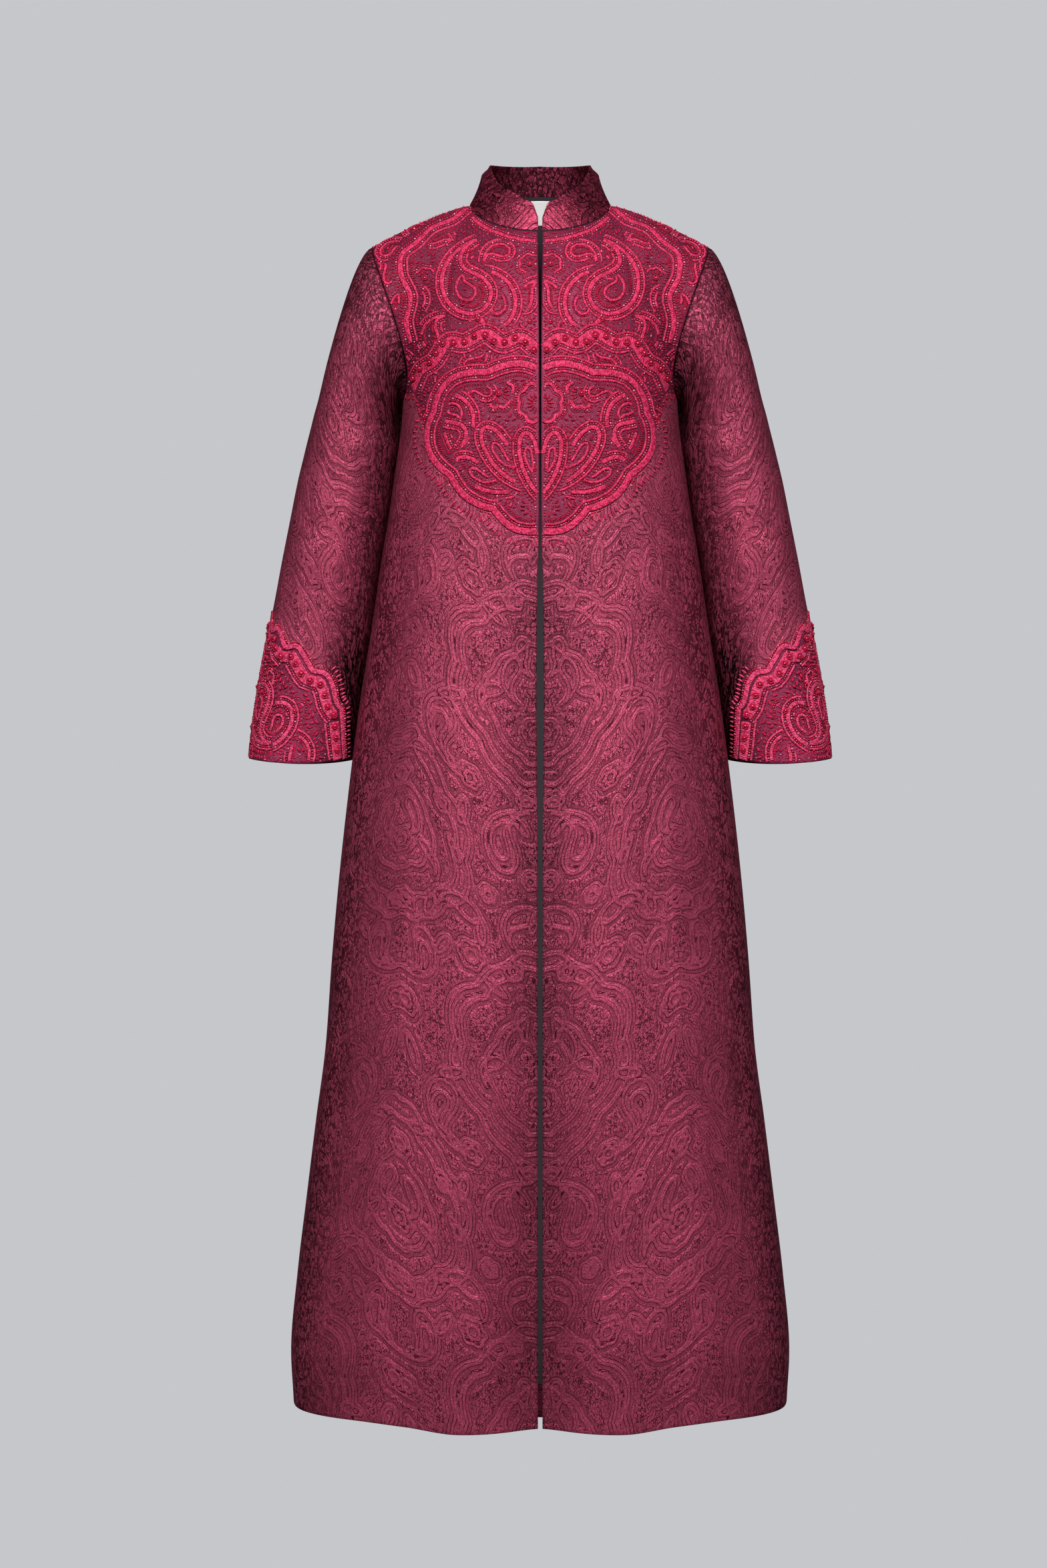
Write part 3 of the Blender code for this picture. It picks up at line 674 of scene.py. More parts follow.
@functools.lru_cache(maxsize=None)
def body_section(facing, height):
    """Even steps along one quarter of the level body section: lengths and points.

    facing is -1 for the front and 1 for the back.
    """
    half_width, front_depth, back_depth, valley, flute = read_row(BODY_RINGS, height)
    depth = front_depth if facing < 0 else back_depth
    inner = half_gap(height) if facing < 0 else 0.0
    power = 2.0 / SECTION_ROUNDNESS
    first_angle = math.asin((inner / half_width) ** (1.0 / power))
    points = []
    for step in range(SECTION_STEPS + 1):
        angle = first_angle + (math.pi / 2 - first_angle) * step / SECTION_STEPS
        across = half_width * math.sin(angle) ** power
        cosine = max(math.cos(angle), 0.0)
        out = depth * cosine**power
        if facing < 0:
            out -= valley * math.exp(-((across / VALLEY_WIDTH) ** 2))
        else:
            wave = math.cos(math.pi * BACK_FLUTES * across / half_width)
            out += flute * wave * smooth_step(FLUTE_FADE * cosine)
        points.append((across, facing * out))
    steps = [math.dist(*ends) for ends in zip(points, points[1:])]
    return list(itertools.accumulate(steps, initial=0.0)), points


def body_ring(facing, share, height):
    """Point of the level section at a share of its length from centre to side seam."""
    lengths, points = body_section(facing, round(height, 6))
    target = min(max(share, 0.0), 1.0) * lengths[-1]
    high = min(max(bisect.bisect_left(lengths, target), 1), len(lengths) - 1)
    part = (target - lengths[high - 1]) / (lengths[high] - lengths[high - 1])
    across, deep = (a + part * (b - a) for a, b in zip(points[high - 1], points[high]))
    return Vector((across, deep, height))


def hem_height(facing, share, level):
    """Height of a body row that starts level and ends on the shaped hem."""
    rise = read_table(HEM_RISE, share, 1 if facing < 0 else 2)
    weight = smooth_step((HEM_HEIGHT + HEM_BLEND_HEIGHT - level) / HEM_BLEND_HEIGHT)
    return level + rise * weight


def body_point(facing, share, level):
    """Point of the body's right half.

    level runs from 0 at the neckline and shoulder to 1 at the underarm ring,
    and on to 2 at the hem.
    """
    if level >= 1.0:
        height = UNDERARM_HEIGHT + (level - 1.0) * (HEM_HEIGHT - UNDERARM_HEIGHT)
        point = body_ring(facing, share, height)
        point.z = hem_height(facing, share, height)
        return point
    if share < NECK_SHARE:
        angle = 90.0 * (1.0 - share / NECK_SHARE)
        top = neck_seam(facing * angle)
    else:
        top = shoulder_seam((share - NECK_SHARE) / (1.0 - NECK_SHARE))
    drape = FRONT_DRAPE if facing < 0 else BACK_DRAPE
    low = body_ring(facing, share, UNDERARM_HEIGHT)
    top_handle, low_handle = handles(drape, share)
    point = bezier(top, top + top_handle, low + low_handle, low, level)
    if facing < 0:
        edge = half_gap(point.z)
        reach = smooth_step(1.0 - share / GAP_SHARE)
        point.x += (edge - plain_edge_x(level)) * reach
    return point


@functools.lru_cache(maxsize=None)
def plain_edge_x(level):
    """Across position of the plain centre-front curve before the gap is set."""
    low = body_ring(-1, 0.0, UNDERARM_HEIGHT)
    return bezier(0.0, 0.0, low.x, low.x, level)


def armhole(facing, share):
    """Point of the armhole from the shoulder, 0, to the underarm, 1."""
    return body_point(facing, 1.0, share)


def back_point(share, level):
    """Point of the whole back at a share from -1 to 1 across it."""
    point = body_point(1, abs(share), level)
    return Vector((math.copysign(point.x, share), point.y, point.z))


def sleeve_ring(turn, height):
    """Point of a level sleeve section; turn 0 is the inner side, 0.25 the front."""
    outer, middle_y, half_depth = read_row(SLEEVE_RINGS, height)
    inner = read_table(BODY_RINGS, height) - SLEEVE_TUCK
    middle_x = 0.5 * (inner + outer)
    half_width = 0.5 * (outer - inner)
    angle = 2.0 * math.pi * turn
    power = 2.0 / SLEEVE_ROUNDNESS
    cosine = math.cos(angle)
    sine = math.sin(angle)
    across = middle_x - half_width * math.copysign(abs(cosine) ** power, cosine)
    deep = middle_y - half_depth * math.copysign(abs(sine) ** power, sine)
    return Vector((across, deep, height))


def sleeve_point(turn, level):
    """Point of the right sleeve: level 0 at the armhole, 1 below the head, 2 at the cuff."""
    first_height = SLEEVE_RINGS[0][0]
    last_height = SLEEVE_RINGS[-1][0]
    if level >= 1.0:
        height = first_height + (level - 1.0) * (last_height - first_height)
        point = sleeve_ring(turn, height)
        dip = CUFF_DIP * math.sin(2.0 * math.pi * turn) ** 2
        lower_half = 2.0 * (level - 1.0) - 1.0
        point.z -= dip * smooth_step(lower_half)
        return point
    if turn <= 0.5:
        top = armhole(-1, 1.0 - 2.0 * turn)
    else:
        top = armhole(1, 2.0 * turn - 1.0)
    top_handle, low_handle = handles(SLEEVE_HEAD, turn)
    top = top + top_handle.normalized() * SLEEVE_SEAM_GAP
    low = sleeve_ring(turn, first_height)
    return bezier(top, top + top_handle, low + low_handle, low, level)


def collar_point(side, level):
    """Point of the collar; side runs from -1 round the back to 1, level from seam to top."""
    edge = half_gap(COLLAR_GAP_HEIGHT)
    start = -90.0 + math.degrees(edge / NECK_HALF_WIDTH)
    angle = start + (90.0 - start) * (1.0 - abs(side) ** COLLAR_SPACING)
    seam = neck_seam(angle)
    turn = math.radians(angle)
    sine = math.sin(turn)
    depth = COLLAR_TOP_FRONT if angle < 0.0 else COLLAR_TOP_BACK
    top_height = read_table(COLLAR_TOP, angle)
    from_edge = seam.x - edge
    if angle < 0.0 and from_edge < COLLAR_CORNER:
        left = COLLAR_CORNER - from_edge
        top_height -= COLLAR_CORNER - math.sqrt(max(COLLAR_CORNER**2 - left**2, 0.0))
    top = Vector((COLLAR_TOP_HALF_WIDTH * math.cos(turn), depth * sine, top_height))
    curl = COLLAR_CURL * math.cos(turn) ** 2 * smooth_step(1.0 - (1.0 - level) / COLLAR_CURL_SHARE)
    point = seam.lerp(top, level)
    point.x += (top.x - seam.x) * (1.0 - (1.0 - level) ** COLLAR_HOLLOW - level)
    point.x -= curl
    point.z += COLLAR_LIFT
    if side < 0.0:
        point.x = -point.x
    return point


# The woven repeat: half of it, mirrored across both its sides, in metres
REPEAT_HALF_WIDTH = 0.165
REPEAT_LENGTH = 0.430
REPEAT_MARGIN = 0.03
FIELD_CELL = 0.0008
OUTLINE_STEP = 0.0009
PAISLEY_FULLNESS = 0.62
PAISLEY_TAPER = 1.4
LEAF_TAPER = 1.3
MEDALLION_LOBES = (0.88, 0.09)
MEDALLION_POINT = (0.16, 0.035)

# Medallions: across, along, half width, half length, lobes, size
WOVEN_MEDALLIONS = (
    (0.000, 0.125, 0.112, 0.118, 4, 1.00),
    (0.000, 0.125, 0.112, 0.118, 4, 0.86),
    (0.000, 0.140, 0.112, 0.118, 3, 0.56),
    (0.165, 0.345, 0.092, 0.104, 4, 1.00),
    (0.165, 0.345, 0.092, 0.104, 4, 0.80),
    (0.165, 0.350, 0.092, 0.104, 3, 0.46),
)
# Paisleys: across, along, length, width, degrees, bend
WOVEN_PAISLEYS = (
    (0.120, 0.215, 0.078, 0.036, 62.0, 0.9),
    (0.120, 0.216, 0.048, 0.018, 62.0, 0.9),
    (0.048, 0.300, 0.084, 0.040, -70.0, -0.9),
    (0.048, 0.301, 0.052, 0.021, -70.0, -0.9),
    (0.132, 0.060, 0.072, 0.030, 100.0, -0.8),
    (0.132, 0.061, 0.042, 0.014, 100.0, -0.8),
    (0.034, 0.112, 0.056, 0.018, 60.0, 0.7),
    (0.018, 0.086, 0.044, 0.014, 84.0, 0.4),
    (0.060, 0.138, 0.044, 0.014, 28.0, 0.8),
    (0.146, 0.338, 0.044, 0.014, 118.0, -0.6),
    (0.126, 0.366, 0.034, 0.011, 150.0, -0.6),
    (0.028, 0.392, 0.056, 0.024, 20.0, 0.9),
    (0.092, 0.395, 0.052, 0.022, -28.0, 0.8),
)
# Flowers: across, along, radius, petals
WOVEN_ROSETTES = (
    (0.000, 0.172, 0.017, 7),
    (0.078, 0.020, 0.016, 6),
    (0.078, 0.246, 0.013, 6),
    (0.165, 0.286, 0.013, 6),
    (0.165, 0.366, 0.014, 6),
    (0.012, 0.252, 0.013, 5),
    (0.112, 0.296, 0.011, 5),
    (0.158, 0.120, 0.015, 6),
    (0.008, 0.345, 0.011, 5),
    (0.058, 0.372, 0.010, 5),
    (0.028, 0.022, 0.012, 5),
    (0.158, 0.005, 0.012, 5),
)
# Leaves: across, along, length, width, degrees
WOVEN_LEAVES = (
    (0.100, 0.165, 0.036, 0.010, 30.0),
    (0.150, 0.172, 0.034, 0.010, 110.0),
    (0.088, 0.290, 0.032, 0.009, 80.0),
    (0.020, 0.282, 0.030, 0.009, 130.0),
    (0.112, 0.026, 0.030, 0.009, 60.0),
    (0.050, 0.046, 0.032, 0.009, 150.0),
    (0.140, 0.252, 0.030, 0.009, 20.0),
    (0.066, 0.418, 0.030, 0.009, 95.0),
    (0.128, 0.420, 0.032, 0.009, 70.0),
    (0.004, 0.392, 0.030, 0.009, 75.0),
    (0.098, 0.340, 0.026, 0.008, 120.0),
)


def paisley(length, width, bend, steps=60):
    """Outline of a teardrop with a curled tip, along +X about its middle."""
    turn = np.linspace(0.0, 2.0 * math.pi, steps, endpoint=False)
    along = 0.5 * length * np.cos(turn)
    across = width * PAISLEY_FULLNESS * np.sin(turn) * np.abs(np.sin(0.5 * turn)) ** PAISLEY_TAPER
    lean = bend * np.clip((along / length + 0.25) / 0.75, 0.0, 1.0) ** 2
    middle = -0.25 * length
    far = along - middle
    x = middle + far * np.cos(lean) - across * np.sin(lean)
    y = far * np.sin(lean) + across * np.cos(lean)
    return np.stack([x, y], axis=1)


def leaf_outline(length, width, steps=32):
    """Outline of a pointed leaf along +X about its middle."""
    turn = np.linspace(0.0, 2.0 * math.pi, steps, endpoint=False)
    across = 0.5 * width * np.sign(np.sin(turn)) * np.abs(np.sin(turn)) ** LEAF_TAPER
    return np.stack([0.5 * length * np.cos(turn), across], axis=1)


def rosette_outline(radius, petals, depth=0.22, steps=90):
    """Outline of a round flower with lobed petals."""
    turn = np.linspace(0.0, 2.0 * math.pi, steps, endpoint=False)
    out = radius * (1.0 - depth + depth * np.abs(np.cos(0.5 * petals * turn)))
    return np.stack([out * np.cos(turn), out * np.sin(turn)], axis=1)


def medallion_outline(half_width, half_length, lobes, steps=220):
    """Outline of a lobed medallion that is drawn out to a point above and below."""
    turn = np.linspace(0.0, 2.0 * math.pi, steps, endpoint=False)
    base, lobe_depth = MEDALLION_LOBES
    point_depth, point_width = MEDALLION_POINT
    out = base + lobe_depth * np.abs(np.sin(lobes * turn + 0.5 * math.pi * (lobes % 2)))
    out += point_depth * bell(np.abs(np.sin(turn)) - 1.0, point_width)
    return np.stack([half_width * out * np.cos(turn), half_length * out * np.sin(turn)], axis=1)


def placed(outline, across, along, degrees=0.0):
    """An outline turned by some degrees and moved to its place."""
    turn = math.radians(degrees)
    x = outline[:, 0] * math.cos(turn) - outline[:, 1] * math.sin(turn)
    y = outline[:, 0] * math.sin(turn) + outline[:, 1] * math.cos(turn)
    return np.stack([across + x, along + y], axis=1)


def woven_outlines():
    """Every closed outline of the repeat, in its half width."""
    outlines = []
    for across, along, width, length, lobes, size in WOVEN_MEDALLIONS:
        outline = medallion_outline(width * size, length * size, lobes)
        outlines.append(placed(outline, across, along))
    for across, along, length, width, degrees, bend in WOVEN_PAISLEYS:
        outlines.append(placed(paisley(length, width, bend), across, along, degrees))
    for across, along, radius, petals in WOVEN_ROSETTES:
        for size in (1.0, 0.5):
            outlines.append(placed(rosette_outline(radius * size, petals), across, along))
    for across, along, length, width, degrees in WOVEN_LEAVES:
        outlines.append(placed(leaf_outline(length, width), across, along, degrees))
    return outlines


def closed_samples(outline, step):
    """Points along a closed outline, an even step apart."""
    loop = np.concatenate([outline, outline[:1]])
    lengths = walked(loop)
    return points_at(loop, lengths, np.arange(0.0, lengths[-1], step))


def points_at(line, lengths, places):
    """Points of a line at some distances walked along it."""
    return np.stack([np.interp(places, lengths, column) for column in line.T], axis=1)


def mirrored_copies(outline):
    """An outline with its mirror images across the repeat's sides and its ends."""
    copies = [outline]
    for side in (0.0, REPEAT_HALF_WIDTH):
        away = outline[:, 0] - side
        crosses = away.min() < 0.0 < away.max()
        if np.abs(away).min() < REPEAT_MARGIN and not crosses:
            copies.append(outline * (-1.0, 1.0) + (2.0 * side, 0.0))
    shifted = [copy + (0.0, REPEAT_LENGTH * step) for copy in copies for step in (-1, 1)]
    low, high = -REPEAT_MARGIN, REPEAT_LENGTH + REPEAT_MARGIN
    return copies + [s for s in shifted if s[:, 1].max() > low and s[:, 1].min() < high]


def woven_field():
    """Distance to the nearest outline of the repeat on an even net, negative inside one."""
    columns = round(REPEAT_HALF_WIDTH / FIELD_CELL) + 1
    rows = round(REPEAT_LENGTH / FIELD_CELL) + 1
    xs = np.linspace(0.0, REPEAT_HALF_WIDTH, columns)
    ys = np.linspace(0.0, REPEAT_LENGTH, rows)
    inside = np.zeros((rows, columns), dtype=bool)
    samples = []
    for outline in woven_outlines():
        for copy in mirrored_copies(outline):
            samples.append(closed_samples(copy, OUTLINE_STEP))
            ends = np.roll(copy, -1, axis=0)
            for (x0, y0), (x1, y1) in zip(copy, ends):
                if y0 == y1:
                    continue
                first, last = np.searchsorted(ys, sorted((y0, y1)))
                for row in range(first, last):
                    crossing = x0 + (ys[row] - y0) * (x1 - x0) / (y1 - y0)
                    inside[row] ^= xs < crossing
    points = np.concatenate(samples)
    far_corner = np.array((REPEAT_HALF_WIDTH, REPEAT_LENGTH)) + REPEAT_MARGIN
    points = points[((points > -REPEAT_MARGIN) & (points < far_corner)).all(axis=1)]
    tree = kdtree.KDTree(len(points))
    for index, (x, y) in enumerate(points):
        tree.insert((x, y, 0.0), index)
    tree.balance()
    away = np.array([[tree.find((x, y, 0.0))[2] for x in xs] for y in ys])
    return np.where(inside, -away, away)


def between(grid, row, column):
    """Values of a grid at places between its rows and columns."""
    low_row = np.clip(row.astype(int), 0, grid.shape[0] - 2)
    low_column = np.clip(column.astype(int), 0, grid.shape[1] - 2)
    each = row.shape + (1,) * (grid.ndim - 2)
    down = (row - low_row).reshape(each)
    over = (column - low_column).reshape(each)
    rows = [
        grid[line, low_column] * (1.0 - over) + grid[line, low_column + 1] * over
        for line in (low_row, low_row + 1)
    ]
    return rows[0] * (1.0 - down) + rows[1] * down


def read_field(field, u, v):
    """Value of the woven field at places on the cloth, mirrored and repeated."""
    across = np.abs((u + REPEAT_HALF_WIDTH) % (2.0 * REPEAT_HALF_WIDTH) - REPEAT_HALF_WIDTH)
    row = (v % REPEAT_LENGTH) / REPEAT_LENGTH * (field.shape[0] - 1)
    return between(field, row, across / REPEAT_HALF_WIDTH * (field.shape[1] - 1))


def rows_at(values, places):
    """Rows of an array at places between its rows, on a smooth curve through them."""
    before = 2.0 * values[:1] - values[1:2]
    after = 2.0 * values[-1:] - values[-2:-1]
    padded = np.concatenate([before, values, after])
    low = np.clip(places.astype(int), 0, len(values) - 2)
    share = (places - low).reshape((-1,) + (1,) * (values.ndim - 1))
    a, b, c, d = (padded[low + step] for step in range(4))
    return b + 0.5 * share * (
        c - a + share * (2.0 * a - 5.0 * b + 4.0 * c - d + share * (3.0 * (b - c) + d - a))
    )


def refined(points, columns, row_places):
    """A grid of points made finer, with its columns spread evenly."""
    column_places = np.linspace(0, points.shape[1] - 1, columns + 1)
    fine = rows_at(points, row_places)
    return rows_at(fine.swapaxes(0, 1), column_places).swapaxes(0, 1)


def unit(vectors):
    """Vectors of length 1."""
    return vectors / np.maximum(np.linalg.norm(vectors, axis=-1, keepdims=True), 1e-12)


def face_normals(points, hand):
    """Outward direction at each point of a grid."""
    across = np.gradient(points, axis=1)
    along = np.gradient(points, axis=0)
    return unit(np.cross(across, along)) * hand


def walked(points, axis=0):
    """Distance walked along a line of points, or along one axis of a grid of them."""
    steps = np.linalg.norm(np.diff(points, axis=axis), axis=-1)
    start = np.zeros_like(steps.take([0], axis=axis))
    return np.concatenate([start, np.cumsum(steps, axis=axis)], axis=axis)


def two_part_rows(counts, fine_counts):
    """Places of the fine rows between the worked-out rows, above and below the join."""
    upper, lower = counts
    fine_upper, fine_lower = fine_counts
    first = np.linspace(0, upper, fine_upper, endpoint=False)
    second = np.linspace(upper, upper + lower, fine_lower + 1)
    return np.concatenate([first, second])


def sampled(surface, grid, hand, limits=(0.0, 1.0)):
    """Fine points and outward directions of a surface with a join at level 1."""
    columns, counts, (fine_columns, fine_rows) = grid
    upper, lower = counts
    levels = [row / upper for row in range(upper)]
    levels += [1.0 + row / lower for row in range(lower + 1)]
    shares = np.linspace(*limits, columns)
    coarse = np.array([[surface(share, level)[:] for share in shares] for level in levels])
    points = refined(coarse, fine_columns, two_part_rows(counts, fine_rows))
    return points, face_normals(points, hand)


def bell(distance, width):
    """1 at no distance, and less and less away from it."""
    return np.exp(-((distance / width) ** 2))


def rising(values, start, end):
    """Even change from 0 at the start to 1 at the end."""
    return np.clip((values - start) / (end - start), 0.0, 1.0)


def falling(values, start, reach):
    """0 above the start, and 1 from some reach below it."""
    return np.clip((start - values) / reach, 0.0, 1.0)


def creased(u, v, creases):
    """Depth of soft creases at places on the cloth: long troughs that fade at both ends."""
    total = np.zeros_like(u)
    for from_u, from_v, to_u, to_v, width, depth in creases:
        run_u = to_u - from_u
        run_v = to_v - from_v
        length = math.hypot(run_u, run_v)
        along = ((u - from_u) * run_u + (v - from_v) * run_v) / length**2
        across = ((u - from_u) * run_v - (v - from_v) * run_u) / length
        along = np.clip(along, 0.0, 1.0)
        total += depth * np.sin(np.pi * along) * bell(across, width * (0.7 + 0.6 * along))
    return total


def rolled(distance):
    """How far a sheet dips towards a seam at a distance from it."""
    return SEAM_ROLL * np.clip(1.0 - distance / SEAM_ROLL_WIDTH, 0.0, 1.0) ** 2


def turned(layers, edges):
    """Layers of a sheet with its listed edges rolled over and taken back inside.

    layers holds the points, the outward directions and the values to carry along.
    """
    for side, profile in edges:
        upright = side in ("left", "right")
        last = side in ("bottom", "right")
        lined = [layer.swapaxes(0, 1) if upright else layer for layer in layers]
        lined = [layer[::-1] if last else layer for layer in lined]
        points, normals = lined[:2]
        outward = unit(points[0] - points[1])
        spacing = float(np.linalg.norm(points[1] - points[0], axis=1).mean())
        strips = [[] for layer in lined]
        for beyond, behind in profile:
            row = 0 if beyond >= 0.0 else min(max(round(-beyond / spacing), 1), len(points) - 1)
            strips[0].insert(0, points[row] - normals[row] * behind + outward * max(beyond, 0.0))
            for strip, layer in zip(strips[1:], lined[1:]):
                strip.insert(0, layer[row])
        grown = [np.concatenate([np.array(strip), layer]) for strip, layer in zip(strips, lined)]
        grown = [layer[::-1] if last else layer for layer in grown]
        layers = [layer.swapaxes(0, 1) if upright else layer for layer in grown]
    return layers


def sheet_object(name, points, maps, finish, hand, close=False):
    """An object from a grid of points, with a UV map for each pair of values."""
    rows, columns = points.shape[:2]
    net = bmesh.new()
    bmesh.ops.create_grid(net, x_segments=columns - 1, y_segments=rows - 1, size=0.5)
    mesh = bpy.data.meshes.new(name)
    net.to_mesh(mesh)
    net.free()
    flat = np.empty(rows * columns * 3)
    mesh.vertices.foreach_get("co", flat)
    flat = flat.reshape(-1, 3)
    column = np.rint((flat[:, 0] + 0.5) * (columns - 1)).astype(int)
    row = np.rint((0.5 - flat[:, 1]) * (rows - 1)).astype(int)
    mesh.vertices.foreach_set("co", points[row, column].ravel())
    corners = np.empty(len(mesh.loops), dtype=int)
    mesh.loops.foreach_get("vertex_index", corners)
    for title, values in maps.items():
        layer = mesh.uv_layers.new(name=title)
        layer.uv.foreach_set("vector", values[row, column][corners].ravel())
    if hand > 0:
        mesh.flip_normals()
    if close:
        net = bmesh.new()
        net.from_mesh(mesh)
        bmesh.ops.remove_doubles(net, verts=net.verts[:], dist=MERGE_DISTANCE)
        net.to_mesh(mesh)
        net.free()
    return linked(name, mesh, finish)


# Finishes, in linear colours
# Jacquard colours: between the lines (the cloth's darker weave, deepened as painted shade of the
# grooves), on the lines, on the plain ground
WINE_COLOURS = (
    (0.080, 0.0060, 0.0180, 1.0),
    (0.510, 0.0740, 0.1460, 1.0),
    (0.200, 0.0230, 0.0620, 1.0),
)
# Collar: its third colour is painted shade for the inner face
COLLAR_COLOURS = (
    (0.020, 0.0020, 0.0080, 1.0),
    (0.560, 0.0640, 0.1350, 1.0),
    (0.040, 0.0070, 0.0140, 1.0),
)
# Jacquard surfaces: depth of the relief, roughness, gloss, spread of the echo lines
WINE_SURFACE = (0.0013, 0.46, 0.36, 0.0)
COLLAR_SURFACE = (0.0018, 0.42, 0.65, 0.35)
BRIGHT_THREAD = (0.640, 0.0160, 0.0760, 1.0)
DEEP_THREAD = (0.400, 0.0040, 0.0280, 1.0)
# Dark colour of the painted shadow strips under the bands
PAINTED_SHADOW_THREAD = (0.130, 0.0060, 0.0200, 1.0)
# Lighter copies of the threads for the cuffs: painted light where less light reaches them
CUFF_PAINTED_LIGHT_BRIGHT_THREAD = (0.850, 0.0330, 0.1180, 1.0)
CUFF_PAINTED_LIGHT_DEEP_THREAD = (0.590, 0.0080, 0.0480, 1.0)
# Pale pink of the glint beads: painted highlight
GLINT_CRYSTAL_PINK = (0.780, 0.1400, 0.2300, 1.0)
BEAD_RED = (0.420, 0.0070, 0.0380, 1.0)
CHARCOAL = (0.1300, 0.1280, 0.1420, 1.0)
# Near-black charcoal at the neck: painted shade inside the back
NECK_PAINTED_SHADE_CHARCOAL = (0.0260, 0.0250, 0.0300, 1.0)
NECK_SHADE_HEIGHTS = (-0.42, -0.12)
LABEL_WHITE = (0.800, 0.800, 0.790, 1.0)
THREAD_GLOSS = (1.0, 0.45, 0.55, 1.0)
THREAD_SHEEN = (1.0, 0.55, 0.65, 1.0)
BRIGHTEST = 0.9
# Threads: roughness, stitches a metre
BRIGHT_STITCH = (0.42, 140.0)
DEEP_STITCH = (0.45, 160.0)
PAINTED_SHADOW_STITCH = (0.55, 160.0)
THREAD_RELIEF = 0.0007
# Plain cloths: roughness, threads a metre, depth of the weave
LINING_WEAVE = (0.55, 900.0, 0.0001)
LABEL_WEAVE = (0.70, 1500.0, 0.0001)
ECHO_PITCH = 0.0039
ECHO_WOBBLE = 0.0018
PADDED_PITCH = 0.0105
# Noises in the cloth's relief: scale in turns a metre, detail
WANDER_NOISE = (110.0, 1.0)
BREAK_NOISE = (70.0, 2.0)
PATCH_NOISE = (17.0, 1.0)
WORM_NOISE = (175.0, 1.5)
SHORT_WORM_NOISE = (330.0, 1.0)
SHADE_CRUSH_NOISE = (80.0, 2.0)
GRAIN_NOISE = (800.0, 2.0)
BLOTCH_NOISE = (9.0, 3.0)
# Soft changes in the relief: where they start and end, and what they give there
ECHO_LINE_RANGE = (-0.985, -0.78)
BREAK_RANGE = (0.40, 0.62, 0.0, 0.65)
NEAR_RANGE = (0.0060, 0.0105, 1.0, 0.0)
PATCH_RANGE = (0.56, 0.66, 0.0, 0.6)
WORM_RANGE = (0.006, 0.040, 0.0, 1.0)
SHORT_WORM_RANGE = (0.004, 0.030, 0.40, 1.0)
SHADE_CRUSH_RANGE = (0.010, 0.075, 1.0, 0.0)
PADDED_RANGE = (0.0, 0.016, 1.0, 0.25)
BLOTCH_RANGE = (0.3, 0.7, 0.80, 1.05)
INSIDE_RANGE = (-0.003, 0.002, 1.08, 0.98)
FLECK_RANGE = (0.35, 0.65, 0.82, 1.08)
WORM_STRETCH = (1.35, 0.80, 1.0)
# Strength of the painted shade crush at the sides
SHADE_CRUSH_GAIN = 1.3


def set_inputs(node, values):
    """Give a node's unlinked inputs their values."""
    for key, value in values.items():
        node.inputs[key].default_value = value


def add_node(tree, kind, values=None, **settings):
    """A shader node with its settings and its unlinked inputs."""
    made = tree.nodes.new(kind)
    for key, value in settings.items():
        setattr(made, key, value)
    set_inputs(made, values or {})
    return made


def link(tree, source, target, socket):
    """Join a (node, output) pair to an input of another node."""
    tree.links.new(source[0].outputs[source[1]], target.inputs[socket])


def sum_up(tree, operation, *terms):
    """A Math node whose inputs are numbers or (node, output) pairs."""
    made = add_node(tree, "ShaderNodeMath", operation=operation)
    for place, term in enumerate(terms):
        if isinstance(term, tuple):
            link(tree, term, made, place)
        else:
            made.inputs[place].default_value = term
    return made, 0


def soft_range(tree, value, low, high, to_low=0.0, to_high=1.0):
    """A smooth change of a value from one range to another."""
    limits = {"From Min": low, "From Max": high, "To Min": to_low, "To Max": to_high}
    made = add_node(tree, "ShaderNodeMapRange", interpolation_type="SMOOTHSTEP")
    set_inputs(made, limits)
    link(tree, value, made, "Value")
    return made, "Result"


def noise(tree, vector, scale, detail=2.0):
    """A noise value at a scale in turns a metre."""
    made = add_node(tree, "ShaderNodeTexNoise", {"Scale": scale, "Detail": detail})
    made.inputs["Roughness"].default_value = 0.5
    link(tree, vector, made, "Vector")
    return made, "Fac"


def uv_map(tree, title):
    """Places on one of the object's UV maps."""
    return add_node(tree, "ShaderNodeUVMap", uv_map=title), "UV"


def parted(tree, vector):
    """A node with the three numbers of a vector."""
    made = add_node(tree, "ShaderNodeSeparateXYZ")
    link(tree, vector, made, "Vector")
    return made


def scaled(colour, *factors):
    """A colour times one factor, or one for each channel, kept below the brightest."""
    factors = factors if len(factors) > 1 else 3 * factors
    return tuple(min(f * c, BRIGHTEST) for f, c in zip(factors, colour)) + (1.0,)


def group_with(name, inputs, outputs):
    """A new node group with its sockets, its input node and its output node."""
    tree = bpy.data.node_groups.new(name, "ShaderNodeTree")
    for title, kind in inputs:
        tree.interface.new_socket(title, in_out="INPUT", socket_type=kind)
    for title, kind in outputs:
        tree.interface.new_socket(title, in_out="OUTPUT", socket_type=kind)
    return tree, add_node(tree, "NodeGroupInput"), add_node(tree, "NodeGroupOutput")


